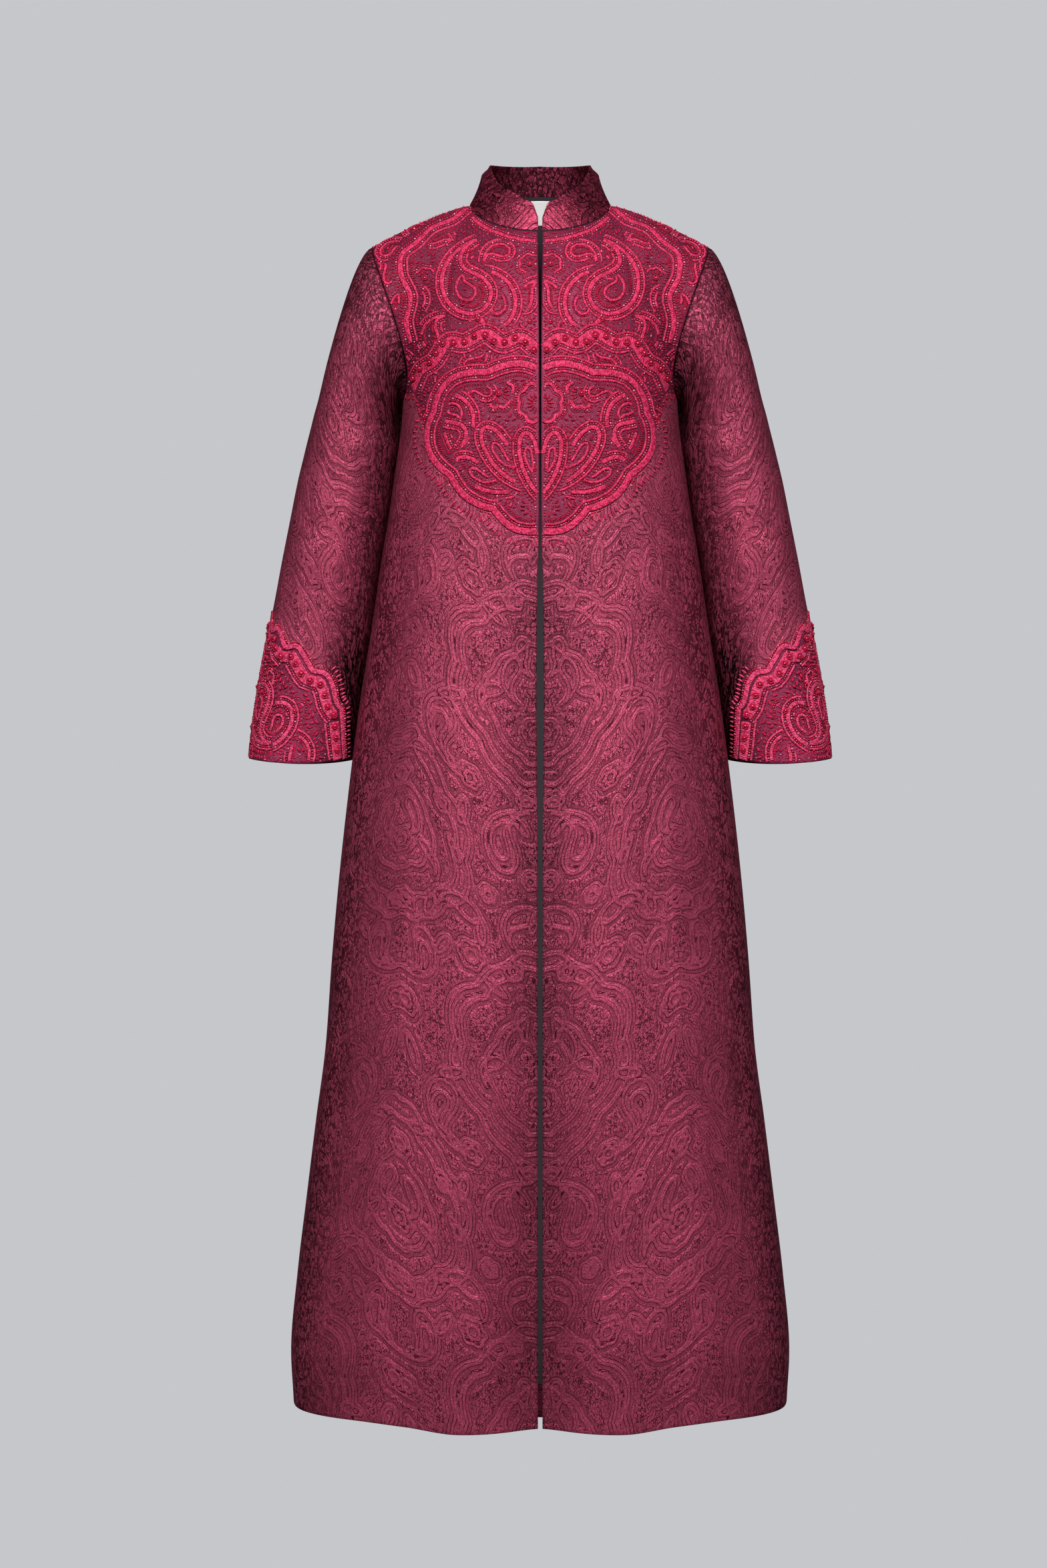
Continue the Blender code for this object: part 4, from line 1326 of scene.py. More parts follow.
def woven_relief():
    """Node group of the jacquard's relief: echo lines, worm-like breaks and fine weave, with
    painted shade that sinks the ridges at the sides and follows the padding.
    """
    titles = ("Echo", "Ground", "Spread", "ShadeCrush")
    inputs = [("Cloth", "NodeSocketVector")] + [(title, "NodeSocketFloat") for title in titles]
    outputs = [(title, "NodeSocketFloat") for title in ("Height", "Line", "Shade")]
    tree, given, out = group_with("woven_relief", inputs, outputs)
    value = functools.partial(sum_up, tree)
    soft = functools.partial(soft_range, tree)
    speckle = functools.partial(noise, tree)
    cloth = (given, "Cloth")
    echo = (given, "Echo")
    drawn = add_node(tree, "ShaderNodeVectorMath", {1: WORM_STRETCH}, operation="MULTIPLY")
    link(tree, cloth, drawn, 0)

    def winding(kind, limits):
        middle = value("SUBTRACT", speckle((drawn, "Vector"), *kind), 0.5)
        return soft(value("ABSOLUTE", middle), *limits)

    away = value("ABSOLUTE", echo)
    wander = value("SUBTRACT", speckle(cloth, *WANDER_NOISE), 0.5)
    distance = value("MULTIPLY_ADD", wander, ECHO_WOBBLE, echo)
    phase = value("MULTIPLY", distance, 2.0 * math.pi / ECHO_PITCH)
    echo_lines = soft(value("COSINE", phase), *ECHO_LINE_RANGE)
    echo_lines = value("MAXIMUM", echo_lines, soft(speckle(cloth, *BREAK_NOISE), *BREAK_RANGE))
    near = soft(away, *NEAR_RANGE)
    near = value("MAXIMUM", near, soft(speckle(cloth, *PATCH_NOISE), *PATCH_RANGE))
    near = value("MAXIMUM", near, (given, "Spread"))
    echo_lines = value("MAXIMUM", echo_lines, value("SUBTRACT", 1.0, near))
    worms = winding(WORM_NOISE, WORM_RANGE)
    worms = value("MULTIPLY", worms, winding(SHORT_WORM_NOISE, SHORT_WORM_RANGE))
    worms = value("MAXIMUM", worms, value("MULTIPLY_ADD", near, 0.50, 0.10))
    ridges = value("MULTIPLY", worms, echo_lines)
    # Painted shade crush: where the crush input is high the ridges sink, so more of the dark valley
    # colour shows, and the relief flattens there too
    shade_crush = winding(SHADE_CRUSH_NOISE, SHADE_CRUSH_RANGE)
    shade_crush = value("MULTIPLY", shade_crush, value("MULTIPLY", (given, "ShadeCrush"), SHADE_CRUSH_GAIN))
    ridges = value("MULTIPLY", ridges, value("MAXIMUM", value("SUBTRACT", 1.0, shade_crush), 0.0))
    padded = value("COSINE", value("MULTIPLY", distance, 2.0 * math.pi / PADDED_PITCH))
    padded = value("MULTIPLY", padded, soft(away, *PADDED_RANGE))
    grain = speckle(cloth, *GRAIN_NOISE)
    height = value("MULTIPLY_ADD", padded, 0.30, ridges)
    height = value("MULTIPLY", height, value("SUBTRACT", 1.0, (given, "Ground")))
    height = value("MULTIPLY_ADD", grain, 0.35, height)
    blotch = soft(speckle(cloth, *BLOTCH_NOISE), *BLOTCH_RANGE)
    # Painted shade and light of the padding: its waves also change the colour a little. The colour
    # is also a little lighter inside the outlines
    blotch = value("MULTIPLY_ADD", padded, 0.05, blotch)
    fleck = value("MULTIPLY", soft(grain, *FLECK_RANGE), soft(echo, *INSIDE_RANGE))
    link(tree, height, out, "Height")
    link(tree, ridges, out, "Line")
    link(tree, value("MULTIPLY", blotch, fleck), out, "Shade")
    return tree


def base_material(name, roughness, sheen=0.0, sheen_tint=(1.0, 1.0, 1.0, 1.0), satin=0.0):
    """A material with its shader, and its tree."""
    made = bpy.data.materials.new(name)
    made.use_nodes = True
    tree = made.node_tree
    shader = tree.nodes["Principled BSDF"]
    set_inputs(shader, {
        "Roughness": roughness,
        "Metallic": satin,
        "Specular IOR Level": 0.3,
        "Specular Tint": THREAD_GLOSS,
        "Sheen Weight": sheen,
        "Sheen Tint": sheen_tint,
        "Sheen Roughness": 0.4,
    })
    return made, tree, shader


def mixed(tree, factor, first, second):
    """Colour mixed from two colours, each a colour or a (node, output) pair."""
    made = add_node(tree, "ShaderNodeMix", data_type="RGBA")
    link(tree, factor, made, 0)
    for socket, colour in ((6, first), (7, second)):
        if len(colour) == 2:
            link(tree, colour, made, socket)
        else:
            made.inputs[socket].default_value = colour
    return made, 2


def bumped(tree, shader, height, depth):
    """Bump from a height of 0 to 1 and its depth in metres."""
    made = add_node(tree, "ShaderNodeBump", {"Strength": 1.0, "Distance": depth})
    link(tree, height, made, "Height")
    link(tree, (made, "Normal"), shader, "Normal")


def jacquard(name, relief, colours, depth, roughness, gloss, spread):
    """Satin jacquard with raised lines in a lighter thread than its ground.

    spread is how much of the cloth between the outlines their echo lines fill.
    """
    valley, ridge, ground = colours
    made, tree, shader = base_material(name, roughness, satin=gloss)
    value = functools.partial(sum_up, tree)
    field = parted(tree, uv_map(tree, "field"))
    # The tone map holds painted shade: X is the share of colour lost, Y the side crush
    tone = parted(tree, uv_map(tree, "tone"))
    lines = add_node(tree, "ShaderNodeGroup", {"Spread": spread}, node_tree=relief)
    link(tree, uv_map(tree, "cloth"), lines, "Cloth")
    link(tree, (field, "X"), lines, "Echo")
    link(tree, (field, "Y"), lines, "Ground")
    link(tree, (tone, "Y"), lines, "ShadeCrush")
    woven = mixed(tree, (lines, "Line"), valley, ridge)
    shaded = add_node(tree, "ShaderNodeVectorMath", operation="SCALE")
    link(tree, mixed(tree, (field, "Y"), woven, ground), shaded, 0)
    # Painted shade: the colour loses its share from the tone map, the dark valleys more than the
    # ridges
    loss = value("MULTIPLY_ADD", (lines, "Line"), -0.8, 1.4)
    loss = value("MULTIPLY", loss, (tone, "X"))
    kept = value("MAXIMUM", value("SUBTRACT", 1.0, loss), 0.0)
    link(tree, value("MULTIPLY", (lines, "Shade"), kept), shaded, "Scale")
    link(tree, (shaded, "Vector"), shader, "Base Color")
    rough = soft_range(tree, (lines, "Line"), 0.0, 1.0, roughness + 0.14, roughness - 0.06)
    link(tree, rough, shader, "Roughness")
    bumped(tree, shader, (lines, "Height"), depth)
    return made


def plain_cloth(name, colour, roughness, scale, depth, upper=None):
    """Smooth cloth with a fine weave, on its own object's coordinates.

    upper is a darker colour painted towards the neck as painted shade, where given.
    """
    made, tree, shader = base_material(name, roughness)
    place = (add_node(tree, "ShaderNodeTexCoord"), "Object")
    weave = noise(tree, place, scale)
    tone = mixed(tree, weave, scaled(colour, 0.7), colour)
    # Painted shade: darker towards the neck
    if upper:
        height = soft_range(tree, (parted(tree, place), "Z"), *NECK_SHADE_HEIGHTS)
        tone = mixed(tree, height, tone, upper)
    link(tree, tone, shader, "Base Color")
    bumped(tree, shader, weave, depth)
    return made


def thread(name, colour, roughness, stitch):
    """Embroidery thread with slanted stitches along its own UV map."""
    made, tree, shader = base_material(name, roughness, 0.05, THREAD_SHEEN)
    wave = add_node(tree, "ShaderNodeTexWave", {"Scale": stitch, "Distortion": 1.5, "Detail": 1.0})
    link(tree, uv_map(tree, "thread"), wave, "Vector")
    place = (add_node(tree, "ShaderNodeTexCoord"), "Object")
    change = soft_range(tree, noise(tree, place, 360.0, 1.5), 0.36, 0.62)
    factor = sum_up(tree, "MULTIPLY", (wave, "Fac"), 0.35)
    factor = sum_up(tree, "MULTIPLY_ADD", change, 0.65, factor)
    tone = mixed(tree, factor, scaled(colour, 0.36), scaled(colour, 1.25, 2.6, 1.9))
    link(tree, tone, shader, "Base Color")
    bumped(tree, shader, factor, THREAD_RELIEF)
    return made


def bead_glass(name, colour):
    """Small faceted glass beads with a bright point of light."""
    made, tree, shader = base_material(name, 0.16)
    place = (add_node(tree, "ShaderNodeTexCoord"), "Object")
    change = soft_range(tree, noise(tree, place, 260.0, 1.0), 0.35, 0.65)
    tone = mixed(tree, change, scaled(colour, 0.55), scaled(colour, 1.5))
    link(tree, tone, shader, "Base Color")
    set_inputs(shader, {"Specular IOR Level": 0.9, "Coat Weight": 0.6, "Coat Roughness": 0.08})
    return made


def dressed(piece, slot_name, node=None):
    """Hide the solid a piece stands for, if given, and hang the piece from the root body; slot_name
    is not used.
    """
    if node:
        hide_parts(node)
    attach(piece, "root")


def read_line(places, table):
    """Values at some places on straight lines between a table's rows."""
    return np.interp(places, [row[0] for row in table], [row[1] for row in table])


def ground_below(distance):
    """1 on the plain ground under embroidery, 0 on the jacquard beyond its edge."""
    return np.clip(distance / GROUND_FADE - 1.5, 0.0, 1.0)


def yoke_ground(points):
    """Where the plain ground under the yoke embroidery lies."""
    return ground_below(points[..., 2] - read_line(np.abs(points[..., 0]), YOKE_EDGE))


def cuff_edge(degrees):
    """Height of the cuff embroidery's scalloped upper edge."""
    lobes = np.abs(np.sin(math.pi * degrees / CUFF_LOBE_TURN)) - 0.5
    return read_line(degrees, CUFF_EDGE) + CUFF_LOBE_DEPTH * lobes


def front_painted_shade(u, edge, height):
    """Painted shade on the front: colour lost in the centre valley and at the sides, and the
    painted shade crush that darkens the flats between the ridges at the sides.
    """
    centre_depth, centre_width, centre_top, centre_fade = FRONT_PAINTED_SHADE_CENTRE
    side_depth, side_width, side_top, side_fade = FRONT_PAINTED_SHADE_SIDE
    crush_depth, crush_place, crush_width, crush_top, crush_fade = SIDE_PAINTED_SHADE_CRUSH
    centre = falling(height, centre_top, centre_fade) * centre_depth * bell(u, centre_width)
    side = falling(height, side_top, side_fade) * side_depth * bell(edge, side_width)
    shade_crush = falling(height, crush_top, crush_fade) * crush_depth
    return [centre + side, np.maximum(side, shade_crush * bell(edge - crush_place, crush_width))]


def sleeve_painted_shade(degrees, v):
    """Painted shade on the sleeve: colour lost on its inner side by the body, more towards the
    cuff, on its upper outer side and over the shoulder.
    """
    inner_depth, *inner_turns = SLEEVE_PAINTED_SHADE_INNER
    cuff_depth, *cuff_lengths = SLEEVE_PAINTED_SHADE_CUFF
    outer_depth, outer_turn, outer_length = SLEEVE_PAINTED_SHADE_OUTER
    cap_depth, cap_length = SLEEVE_PAINTED_SHADE_CAP
    inner_depth = inner_depth + cuff_depth * rising(v, *cuff_lengths)
    inner = inner_depth * rising(degrees, *inner_turns)
    outer = bell(degrees, outer_turn) * np.clip(SLEEVE_OUTER_SHADE_START - v / outer_length, 0.0, 1.0)
    inner = inner + outer_depth * outer
    return inner + cap_depth * bell(v, cap_length) * (1.0 - inner)


def mirrored(piece, name):
    """A copy of a piece turned over to the other side of the garment."""
    mesh = piece.data.copy()
    mesh.name = name
    net = bmesh.new()
    net.from_mesh(mesh)
    bmesh.ops.scale(net, vec=(-1.0, 1.0, 1.0), verts=net.verts[:])
    bmesh.ops.reverse_faces(net, faces=net.faces[:])
    net.to_mesh(mesh)
    net.free()
    return linked(name, mesh)


def woven_sheet(name, layers, edges, finish, hand, close=False):
    """A jacquard sheet with turned edges and UV maps of its cloth, pattern and tone, the painted
    shade.
    """
    points, _, values = turned(layers[:2] + [np.stack(layers[2], axis=2)], edges)
    maps = {"cloth": values[..., :2], "field": values[..., 2:4], "tone": values[..., 4:]}
    return sheet_object(name, points, maps, finish, hand, close)


def make_front(field, finish):
    """The front on the +X side, with its turned centre edge and hem."""
    surface = functools.partial(body_point, -1)
    points, normals = sampled(surface, FRONT_GRID, -1, (0.0, SEAM_SHARE))
    u = walked(points, 1)
    v = walked(points)
    edge = u[:, -1:] - u
    depth = creased(u, v, FRONT_CREASES)
    depth += rolled(edge) + rolled(v)
    points = points - normals * depth[..., None]
    # Painted shade: colour lost at the centre valley and the sides, and the side crush
    tone, shade_crush = front_painted_shade(u, edge, points[..., 2])
    ground = yoke_ground(points)
    # Painted shade on the yoke ground towards the armhole, beside the sleeve
    armhole_depth, *armhole_places = ARMHOLE_PAINTED_SHADE
    tone = tone + armhole_depth * rising(points[..., 0], *armhole_places) * ground
    values = [u, v, read_field(field, u, v), ground, tone, shade_crush]
    return woven_sheet("front_panel_left", [points, normals, values], FRONT_EDGES, finish, -1)


def make_back(field, finish):
    """The back in one piece, mirrored about its centre."""
    points, normals = sampled(back_point, BACK_GRID, 1, (-SEAM_SHARE, SEAM_SHARE))
    walk = walked(points, 1)
    u = walk - walk[:, walk.shape[1] // 2][:, None]
    v = walked(points)
    depth = creased(np.abs(u), v, BACK_CREASES)
    depth += rolled(walk[:, -1:] - walk) + rolled(walk) + rolled(v)
    points = points - normals * depth[..., None]
    # Painted shade at the back's side seams too, so the front's dark sides carry on round
    edge = np.minimum(walk, walk[:, -1:] - walk)
    shade_crush = front_painted_shade(np.ones_like(u), edge, points[..., 2])[1]
    values = [u, v, read_field(field, u, v), np.zeros_like(u), shade_crush, shade_crush]
    return woven_sheet("back_panel", [points, normals, values], BACK_EDGES, finish, 1)


def sleeve_grid():
    """Fine points and outward directions of the +X sleeve."""
    return sampled(sleeve_point, SLEEVE_GRID, -1)


def tucked(points):
    """The sleeve pushed in behind the body's side, most just under the arm."""
    turn = np.abs(np.linspace(-0.5, 0.5, points.shape[1]))
    inner = np.clip((turn - TUCK_TURN) / TUCK_TURN_FADE, 0.0, 1.0)
    behind = rising(points[..., 1], TUCK_FROM, TUCK_TO)
    low = falling(points[..., 2], UNDERARM_HEIGHT, TUCK_REACH)
    near = bell(points[..., 2] - TUCK_HEIGHT, TUCK_REACH)
    moved = points.copy()
    moved[..., 0] -= inner * behind * (TUCK_DEPTHS[0] * low + TUCK_DEPTHS[1] * near)
    return moved


def make_sleeve(field, finish):
    """The sleeve on the +X side, closed at the underarm, with a turned cuff."""
    points, normals = sleeve_grid()
    normals[:, -1] = normals[:, 0] = unit(normals[:, 0] + normals[:, -1])
    points = tucked(points)
    walk = walked(points, 1)
    u = walk - walk[:, walk.shape[1] // 2][:, None]
    v = walked(points)
    depth = creased(u, v, SLEEVE_CREASES) + rolled(v)
    fade = np.clip(np.minimum(walk, walk[:, -1:] - walk) / CREASE_FADE, 0.0, 1.0)
    depth = rolled(v) + (depth - rolled(v)) * fade
    points = points - normals * depth[..., None]
    degrees = np.abs(np.linspace(0.0, 1.0, walk.shape[1]) - 0.5) * 360.0
    ground = ground_below(cuff_edge(degrees) - points[..., 2])
    echo = read_field(field, u + 0.5 * REPEAT_HALF_WIDTH, v)
    # Painted shade on the sleeve
    tone = sleeve_painted_shade(degrees[None, :], v)
    # On the cuff's embroidered ground the painted shade is taken back, and where none is left the
    # tone drops below zero: painted light, lighter than the cloth's own colour
    values = [u, v, echo, ground, tone - CUFF_GROUND_PAINTED_LIGHT * ground, tone]
    layers = [points, normals, values]
    return woven_sheet("sleeve_panel_left", layers, SLEEVE_EDGES, finish, -1, close=True)


def collar_shell():
    """Points of the collar's outer face and its outward directions, finely spaced."""
    columns, rows, fine_columns, fine_rows = COLLAR_GRID
    sides = np.linspace(-1.0, 1.0, columns)
    levels = np.linspace(0.0, 1.0, rows)
    coarse = np.array([[collar_point(side, level)[:] for side in sides] for level in levels])
    points = refined(coarse, fine_columns, np.linspace(0, rows - 1, fine_rows + 1))
    return points, face_normals(points, -1)


def make_collar(field, finish):
    """The stand collar as one folded band: outer face, rounded top edge and inner face."""
    points, normals = collar_shell()
    normals[..., 2] *= COLLAR_NORMAL_RISE
    normals = unit(normals)
    u = walked(points, 1)
    u = u - u[:, -1:] * 0.5
    v = walked(points)
    echo = COLLAR_PATTERN * read_field(field, u, v + COLLAR_PATTERN_START)
    # Painted shade towards the collar's sides, where it turns from the light
    side_depth, side_to, side_fade = COLLAR_PAINTED_SHADE_SIDE
    tone = side_depth * falling(np.abs(u), side_to, side_fade)
    maps = np.stack([u, v + 0.05, echo, 0.0 * u, tone, tone], axis=2)
    top_out = unit(points[-1] - points[-2])
    rim = np.array([
        points[-1] - normals[-1] * (0.5 * COLLAR_WALL * (1.0 - math.cos(turn)))
        + top_out * (COLLAR_ROLL * COLLAR_WALL * math.sin(turn))
        for turn in np.linspace(0.0, math.pi, COLLAR_RIM_STEPS)[1:-1]
    ])
    grid = np.concatenate([points, rim, (points - normals * COLLAR_WALL)[::-1]])
    carried = np.concatenate([maps, np.repeat(maps[-1:], len(rim), axis=0), maps[::-1]])
    # Painted shade on the collar's inner face: a share of the dark third collar colour
    carried[len(points) + len(rim) :, :, 3] = COLLAR_INSIDE_SHADE_SHARE
    half = 0.5 * (grid + grid[::-1])
    ends = []
    for edge, inside in ((slice(0, 1), slice(1, 2)), (slice(-1, None), slice(-2, -1))):
        end = half[:, edge] + (unit(half[:, edge] - half[:, inside]) * COLLAR_ROLL * COLLAR_WALL)
        near = 0.7 * grid[:, edge] + 0.3 * half[:, edge] + (end - half[:, edge]) * 0.75
        ends.append((end, near))
    (left_end, near_left), (right_end, near_right) = ends
    grid = np.concatenate([left_end, near_left, grid, near_right, right_end], axis=1)
    carried = np.concatenate([carried[:, :1]] * 2 + [carried] + [carried[:, -1:]] * 2, axis=1)
    share = np.abs(np.linspace(-1.0, 1.0, grid.shape[1]))
    reach = COLLAR_ALLOWANCE * falling(share, 0.4, 0.2)
    allowance = grid[-1:] + unit(grid[-1:] - grid[-2:-1]) * reach[None, :, None]
    grid = np.concatenate([grid, allowance])
    carried = np.concatenate([carried, carried[-1:]])
    layers = [grid, np.zeros_like(grid), np.moveaxis(carried, 2, 0)]
    return woven_sheet("collar_band", layers, (), finish, 1)


def make_lining(finish):
    """The dark lining that lies inside the back."""
    points, normals = sampled(back_point, LINING_GRID, 1, (-LINING_SHARE, LINING_SHARE))
    points = points[:-2] - normals[:-2] * (CLOTH_WALL + SEAM_GAP + LINING_CLEARANCE)
    values = {"cloth": np.stack([walked(points, 1), walked(points)], axis=2)}
    return sheet_object("lining_panel", points, values, finish, -1)


def make_label(finish):
    """The bare woven label on the lining, with a rolled edge all round."""
    shares = np.linspace(-LABEL_SHARE, LABEL_SHARE, LABEL_STEPS)
    levels = np.linspace(LABEL_TOP_LEVEL, LABEL_BOTTOM_LEVEL, LABEL_STEPS)
    grid = np.array([[back_point(share, level)[:] for share in shares] for level in levels])
    normals = face_normals(grid, -1)
    layers = turned([grid + normals * LABEL_DEPTH, normals, grid[..., :2]], LABEL_EDGES)
    return sheet_object("neck_label", layers[0], {"cloth": layers[2]}, finish, -1)


def smooth_line(corners):
    """Even points on a smooth curve through a few corners."""
    corners = np.array(corners, dtype=float)
    places = np.linspace(0, len(corners) - 1, 16 * (len(corners) - 1) + 1)
    return evenly(rows_at(corners, places), PATH_STEP)


def evenly(points, step):
    """Points at even steps along a line of points."""
    lengths = walked(points)
    count = max(int(round(lengths[-1] / step)), 2)
    return points_at(points, lengths, np.linspace(0.0, lengths[-1], count + 1))


def traced(curve, places):
    """Points of a curve at some places along it."""
    return np.array([curve(place)[:] for place in places])


def out_from(x, y, reach, degrees):
    """The place at some reach from another one, in a direction in degrees."""
    turn = math.radians(degrees)
    return x + reach * math.cos(turn), y + reach * math.sin(turn)


def standing(line, distance, length, pitch):
    """Places and turns of stitches that stand across a line, beside it."""
    spots = evenly(line, pitch)
    reach = distance + math.copysign(0.5 * length, distance)
    for (x, y), (a, b) in zip(spots, sideways(spots)):
        yield x + a * reach, y + b * reach, math.degrees(math.atan2(b, a))


def looped(outline, step=PATH_STEP):
    """A closed outline as an even line that ends where it starts."""
    return evenly(np.concatenate([outline, outline[:1]]), step)


def sideways(line):
    """Direction across a flat line at each of its points."""
    along = np.gradient(line, axis=0)
    return unit(np.stack([along[:, 1], -along[:, 0]], axis=1))


def beside(line, distance):
    """The unbroken stretches of a line moved sideways, where it stays clear of the first."""
    moved = line + sideways(line) * distance
    gap = np.linalg.norm(moved[:, None] - line[None], axis=2).min(axis=1)
    return runs_of(moved, gap > abs(distance) * 0.93)


def runs_of(points, kept):
    """The unbroken stretches of a line whose points are kept."""
    runs, run = [], []
    for point, keep in zip(points, kept):
        if keep:
            run.append(point)
        elif run:
            runs.append(run)
            run = []
    runs.append(run)
    return [np.array(stretch) for stretch in runs if len(stretch) > 2]


class Taken:
    """The places on the ground that stitches already cover."""

    cell = 0.004

    def __init__(self):
        self.cells = {}

    def near(self, x, y):
        """Stitches in the cells round a place."""
        column, row = int(x // self.cell), int(y // self.cell)
        for i in (column - 1, column, column + 1):
            for j in (row - 1, row, row + 1):
                yield from self.cells.get((i, j), ())

    def free(self, x, y, radius):
        """Whether a round stitch of some radius fits at a place."""
        return all(math.hypot(x - a, y - b) > radius + r for a, b, r in self.near(x, y))

    def take(self, x, y, radius):
        """Cover a place."""
        key = (int(x // self.cell), int(y // self.cell))
        self.cells.setdefault(key, []).append((x, y, radius))

    def clear(self, line, radius):
        """Which points of a line have room for a round stitch."""
        return np.array([self.free(x, y, radius) for x, y in line])

    def cover(self, line, radius):
        """Cover every point of a line."""
        for x, y in line:
            self.take(x, y, radius)


class Embroidery:
    """Stitches of one field of embroidery, laid out flat, then set on the cloth."""

    def __init__(self, name, place, allowed):
        self.name = name
        self.place = place
        self.allowed = allowed
        self.taken = Taken()
        self.outlines = []
        self.bands = []
        self.cords = []
        self.beads = []
        self.leaves = []
        self.knots = []
        self.picks = []

    def fits(self, x, y):
        """Whether a place lies on the ground meant for embroidery."""
        return self.allowed(np.array([(x, y)])).all()

    def band(self, line, width=BAND_WIDTH, height=BAND_HEIGHT):
        """A bright satin-stitched band along a line."""
        self.outlines.append((line, width))
        runs = runs_of(line, self.allowed(line))
        for run in runs:
            for part in runs_of(run, self.taken.clear(run, 0.1 * width)):
                self.bands.append((part, width, height))
        broad = width >= BROAD_BAND_WIDTH
        for run in runs:
            for lane in (-0.3, 0.0, 0.3) if broad else (0.0,):
                spots = run + sideways(run) * lane * width
                self.taken.cover(spots, (0.2 if broad else 0.40) * width)

    def laid(self, line, clearance, covered):
        """The stretches of a line that are free for a thin stitch, now covered by it."""
        clear = self.taken.clear(line, clearance)
        runs = runs_of(line, self.allowed(line) & clear)
        for run in runs:
            self.taken.cover(run, covered)
        return runs

    def cord(self, line, radius=CORD_RADIUS):
        """A round cord along a line, broken where other stitches lie."""
        self.cords += [(run, radius) for run in self.laid(line, 0.6 * radius, radius)]

    def fine_band(self, line, width=FINE_BAND_WIDTH):
        """A narrow bright band, broken where other stitches lie."""
        for run in self.laid(line, 0.3 * width, 0.42 * width):
            self.bands.append((run, width, 0.8 * BAND_HEIGHT))

    def bead(self, x, y, radius, clearance):
        """One bead, left out where it would lie on other stitches."""
        if self.taken.free(x, y, clearance * radius):
            self.beads.append((x, y, radius))
            self.taken.take(x, y, radius)

    def bead_row(self, line, radius=BEAD_RADIUS, pitch=BEAD_PITCH):
        """Beads along a line, left out where other stitches lie."""
        spots = evenly(line, pitch)
        for (x, y), inside in zip(spots, self.allowed(spots)):
            if inside:
                self.bead(x, y, radius, 0.70)

    def leaf(self, x, y, degrees, length=LEAF_LENGTH, width=LEAF_WIDTH):
        """A padded satin-stitch leaf, left out where it would lie on other stitches."""
        spots = [out_from(x, y, share * length, degrees) for share in (-0.34, 0.0, 0.34)]
        if not self.allowed(np.array(spots)).all():
            return False
        if not self.taken.clear(spots, 0.36 * width).all():
            return False
        self.leaves.append((x, y, degrees, length, width))
        self.taken.cover(spots, 0.40 * width)
        return True

    def knot(self, x, y, radius):
        """A coiled knot: a round pad with a ring of cord."""
        if self.fits(x, y):
            self.knots.append((x, y, radius))
            self.taken.take(x, y, radius)

    def flanked(self, line, offsets):
        """Bead rows, fine bands and cords beside a line, by distance and kind."""
        stitch = {"beads": self.bead_row, "cord": self.cord, "band": self.fine_band}
        for distance, kind in offsets:
            for run in beside(line, distance):
                stitch[kind](run)

    def leaf_row(self, line, distance, length, width, pitch, lean):
        """Leaves that stand across a line, beside it."""
        for x, y, degrees in standing(line, distance, length, pitch):
            self.leaf(x, y, degrees + lean, length, width)

    def fringe(self, line, distance, length, pitch):
        """Short straight stitches that stand off a line, past the ground's edge."""
        for x, y, degrees in standing(line, distance, length, pitch):
            if self.taken.free(x, y, PICK_CLEARANCE):
                self.picks.append((x, y, degrees, length, PICK_WIDTH))
                self.taken.take(x, y, PICK_COVER)

    def teardrop(self, x, y, length, width, degrees, bend):
        """A paisley: bright outline, bead rows, a ring of leaves and an inner paisley."""
        outline = placed(paisley(length, width, bend), x, y, degrees)
        line = looped(outline)
        inner_distance, outer_distance = PAISLEY_LEAVES_DISTANCES
        large = length > PAISLEY_BANDS[0][0]
        broad = next(size for limit, size in PAISLEY_BANDS if length > limit)
        half = 0.5 * broad
        self.band(line, broad)
        self.flanked(line, [(half + gap, kind) for gap, kind in PAISLEY_ROWS])
        middle = np.array(out_from(x, y, -PAISLEY_ROOT * length, degrees))
        if large:
            self.flanked(line, ((-half - PAISLEY_BEADS_INSET, "beads"),))
            inner_line = looped(middle + (outline - middle) * INNER_PAISLEY_SIZE)
            self.band(inner_line, INNER_PAISLEY_BAND)
            self.flanked(inner_line, ((INNER_PAISLEY_CORD, "cord"),))
            self.leaf_row(line, -half - inner_distance, *INNER_LEAVES)
        else:
            self.flanked(line, ((-half - PAISLEY_CORD_INSET, "cord"),))
        self.cluster(*middle, degrees, CLUSTER_SHARES[0 if large else 1] * width)
        self.leaf_row(line, half + outer_distance, *OUTER_LEAVES)

    def cluster(self, x, y, degrees, reach):
        """A spray of leaves with a bead at its root."""
        root = np.array([(x + step * SPRAY_STEP, y) for step in range(3)])
        self.bead_row(root, BEAD_RADIUS, 1.0)
        for side in CLUSTER_TURNS:
            away = CLUSTER_REACH
            self.leaf(*out_from(x, y, away, degrees + side), degrees + side)
            away += CLUSTER_STEP
            if away < CLUSTER_ROOM * reach:
                self.leaf(*out_from(x, y, away, degrees + side), degrees + side)

    def rosette(self, x, y, radius, petals):
        """A round flower: a knot, a ring of leaves, a lobed band and a ring of beads."""

        def ring_line(beyond, depth):
            outline = rosette_outline(radius + beyond, petals, depth)
            return looped(placed(outline, x, y, 180.0 / petals))

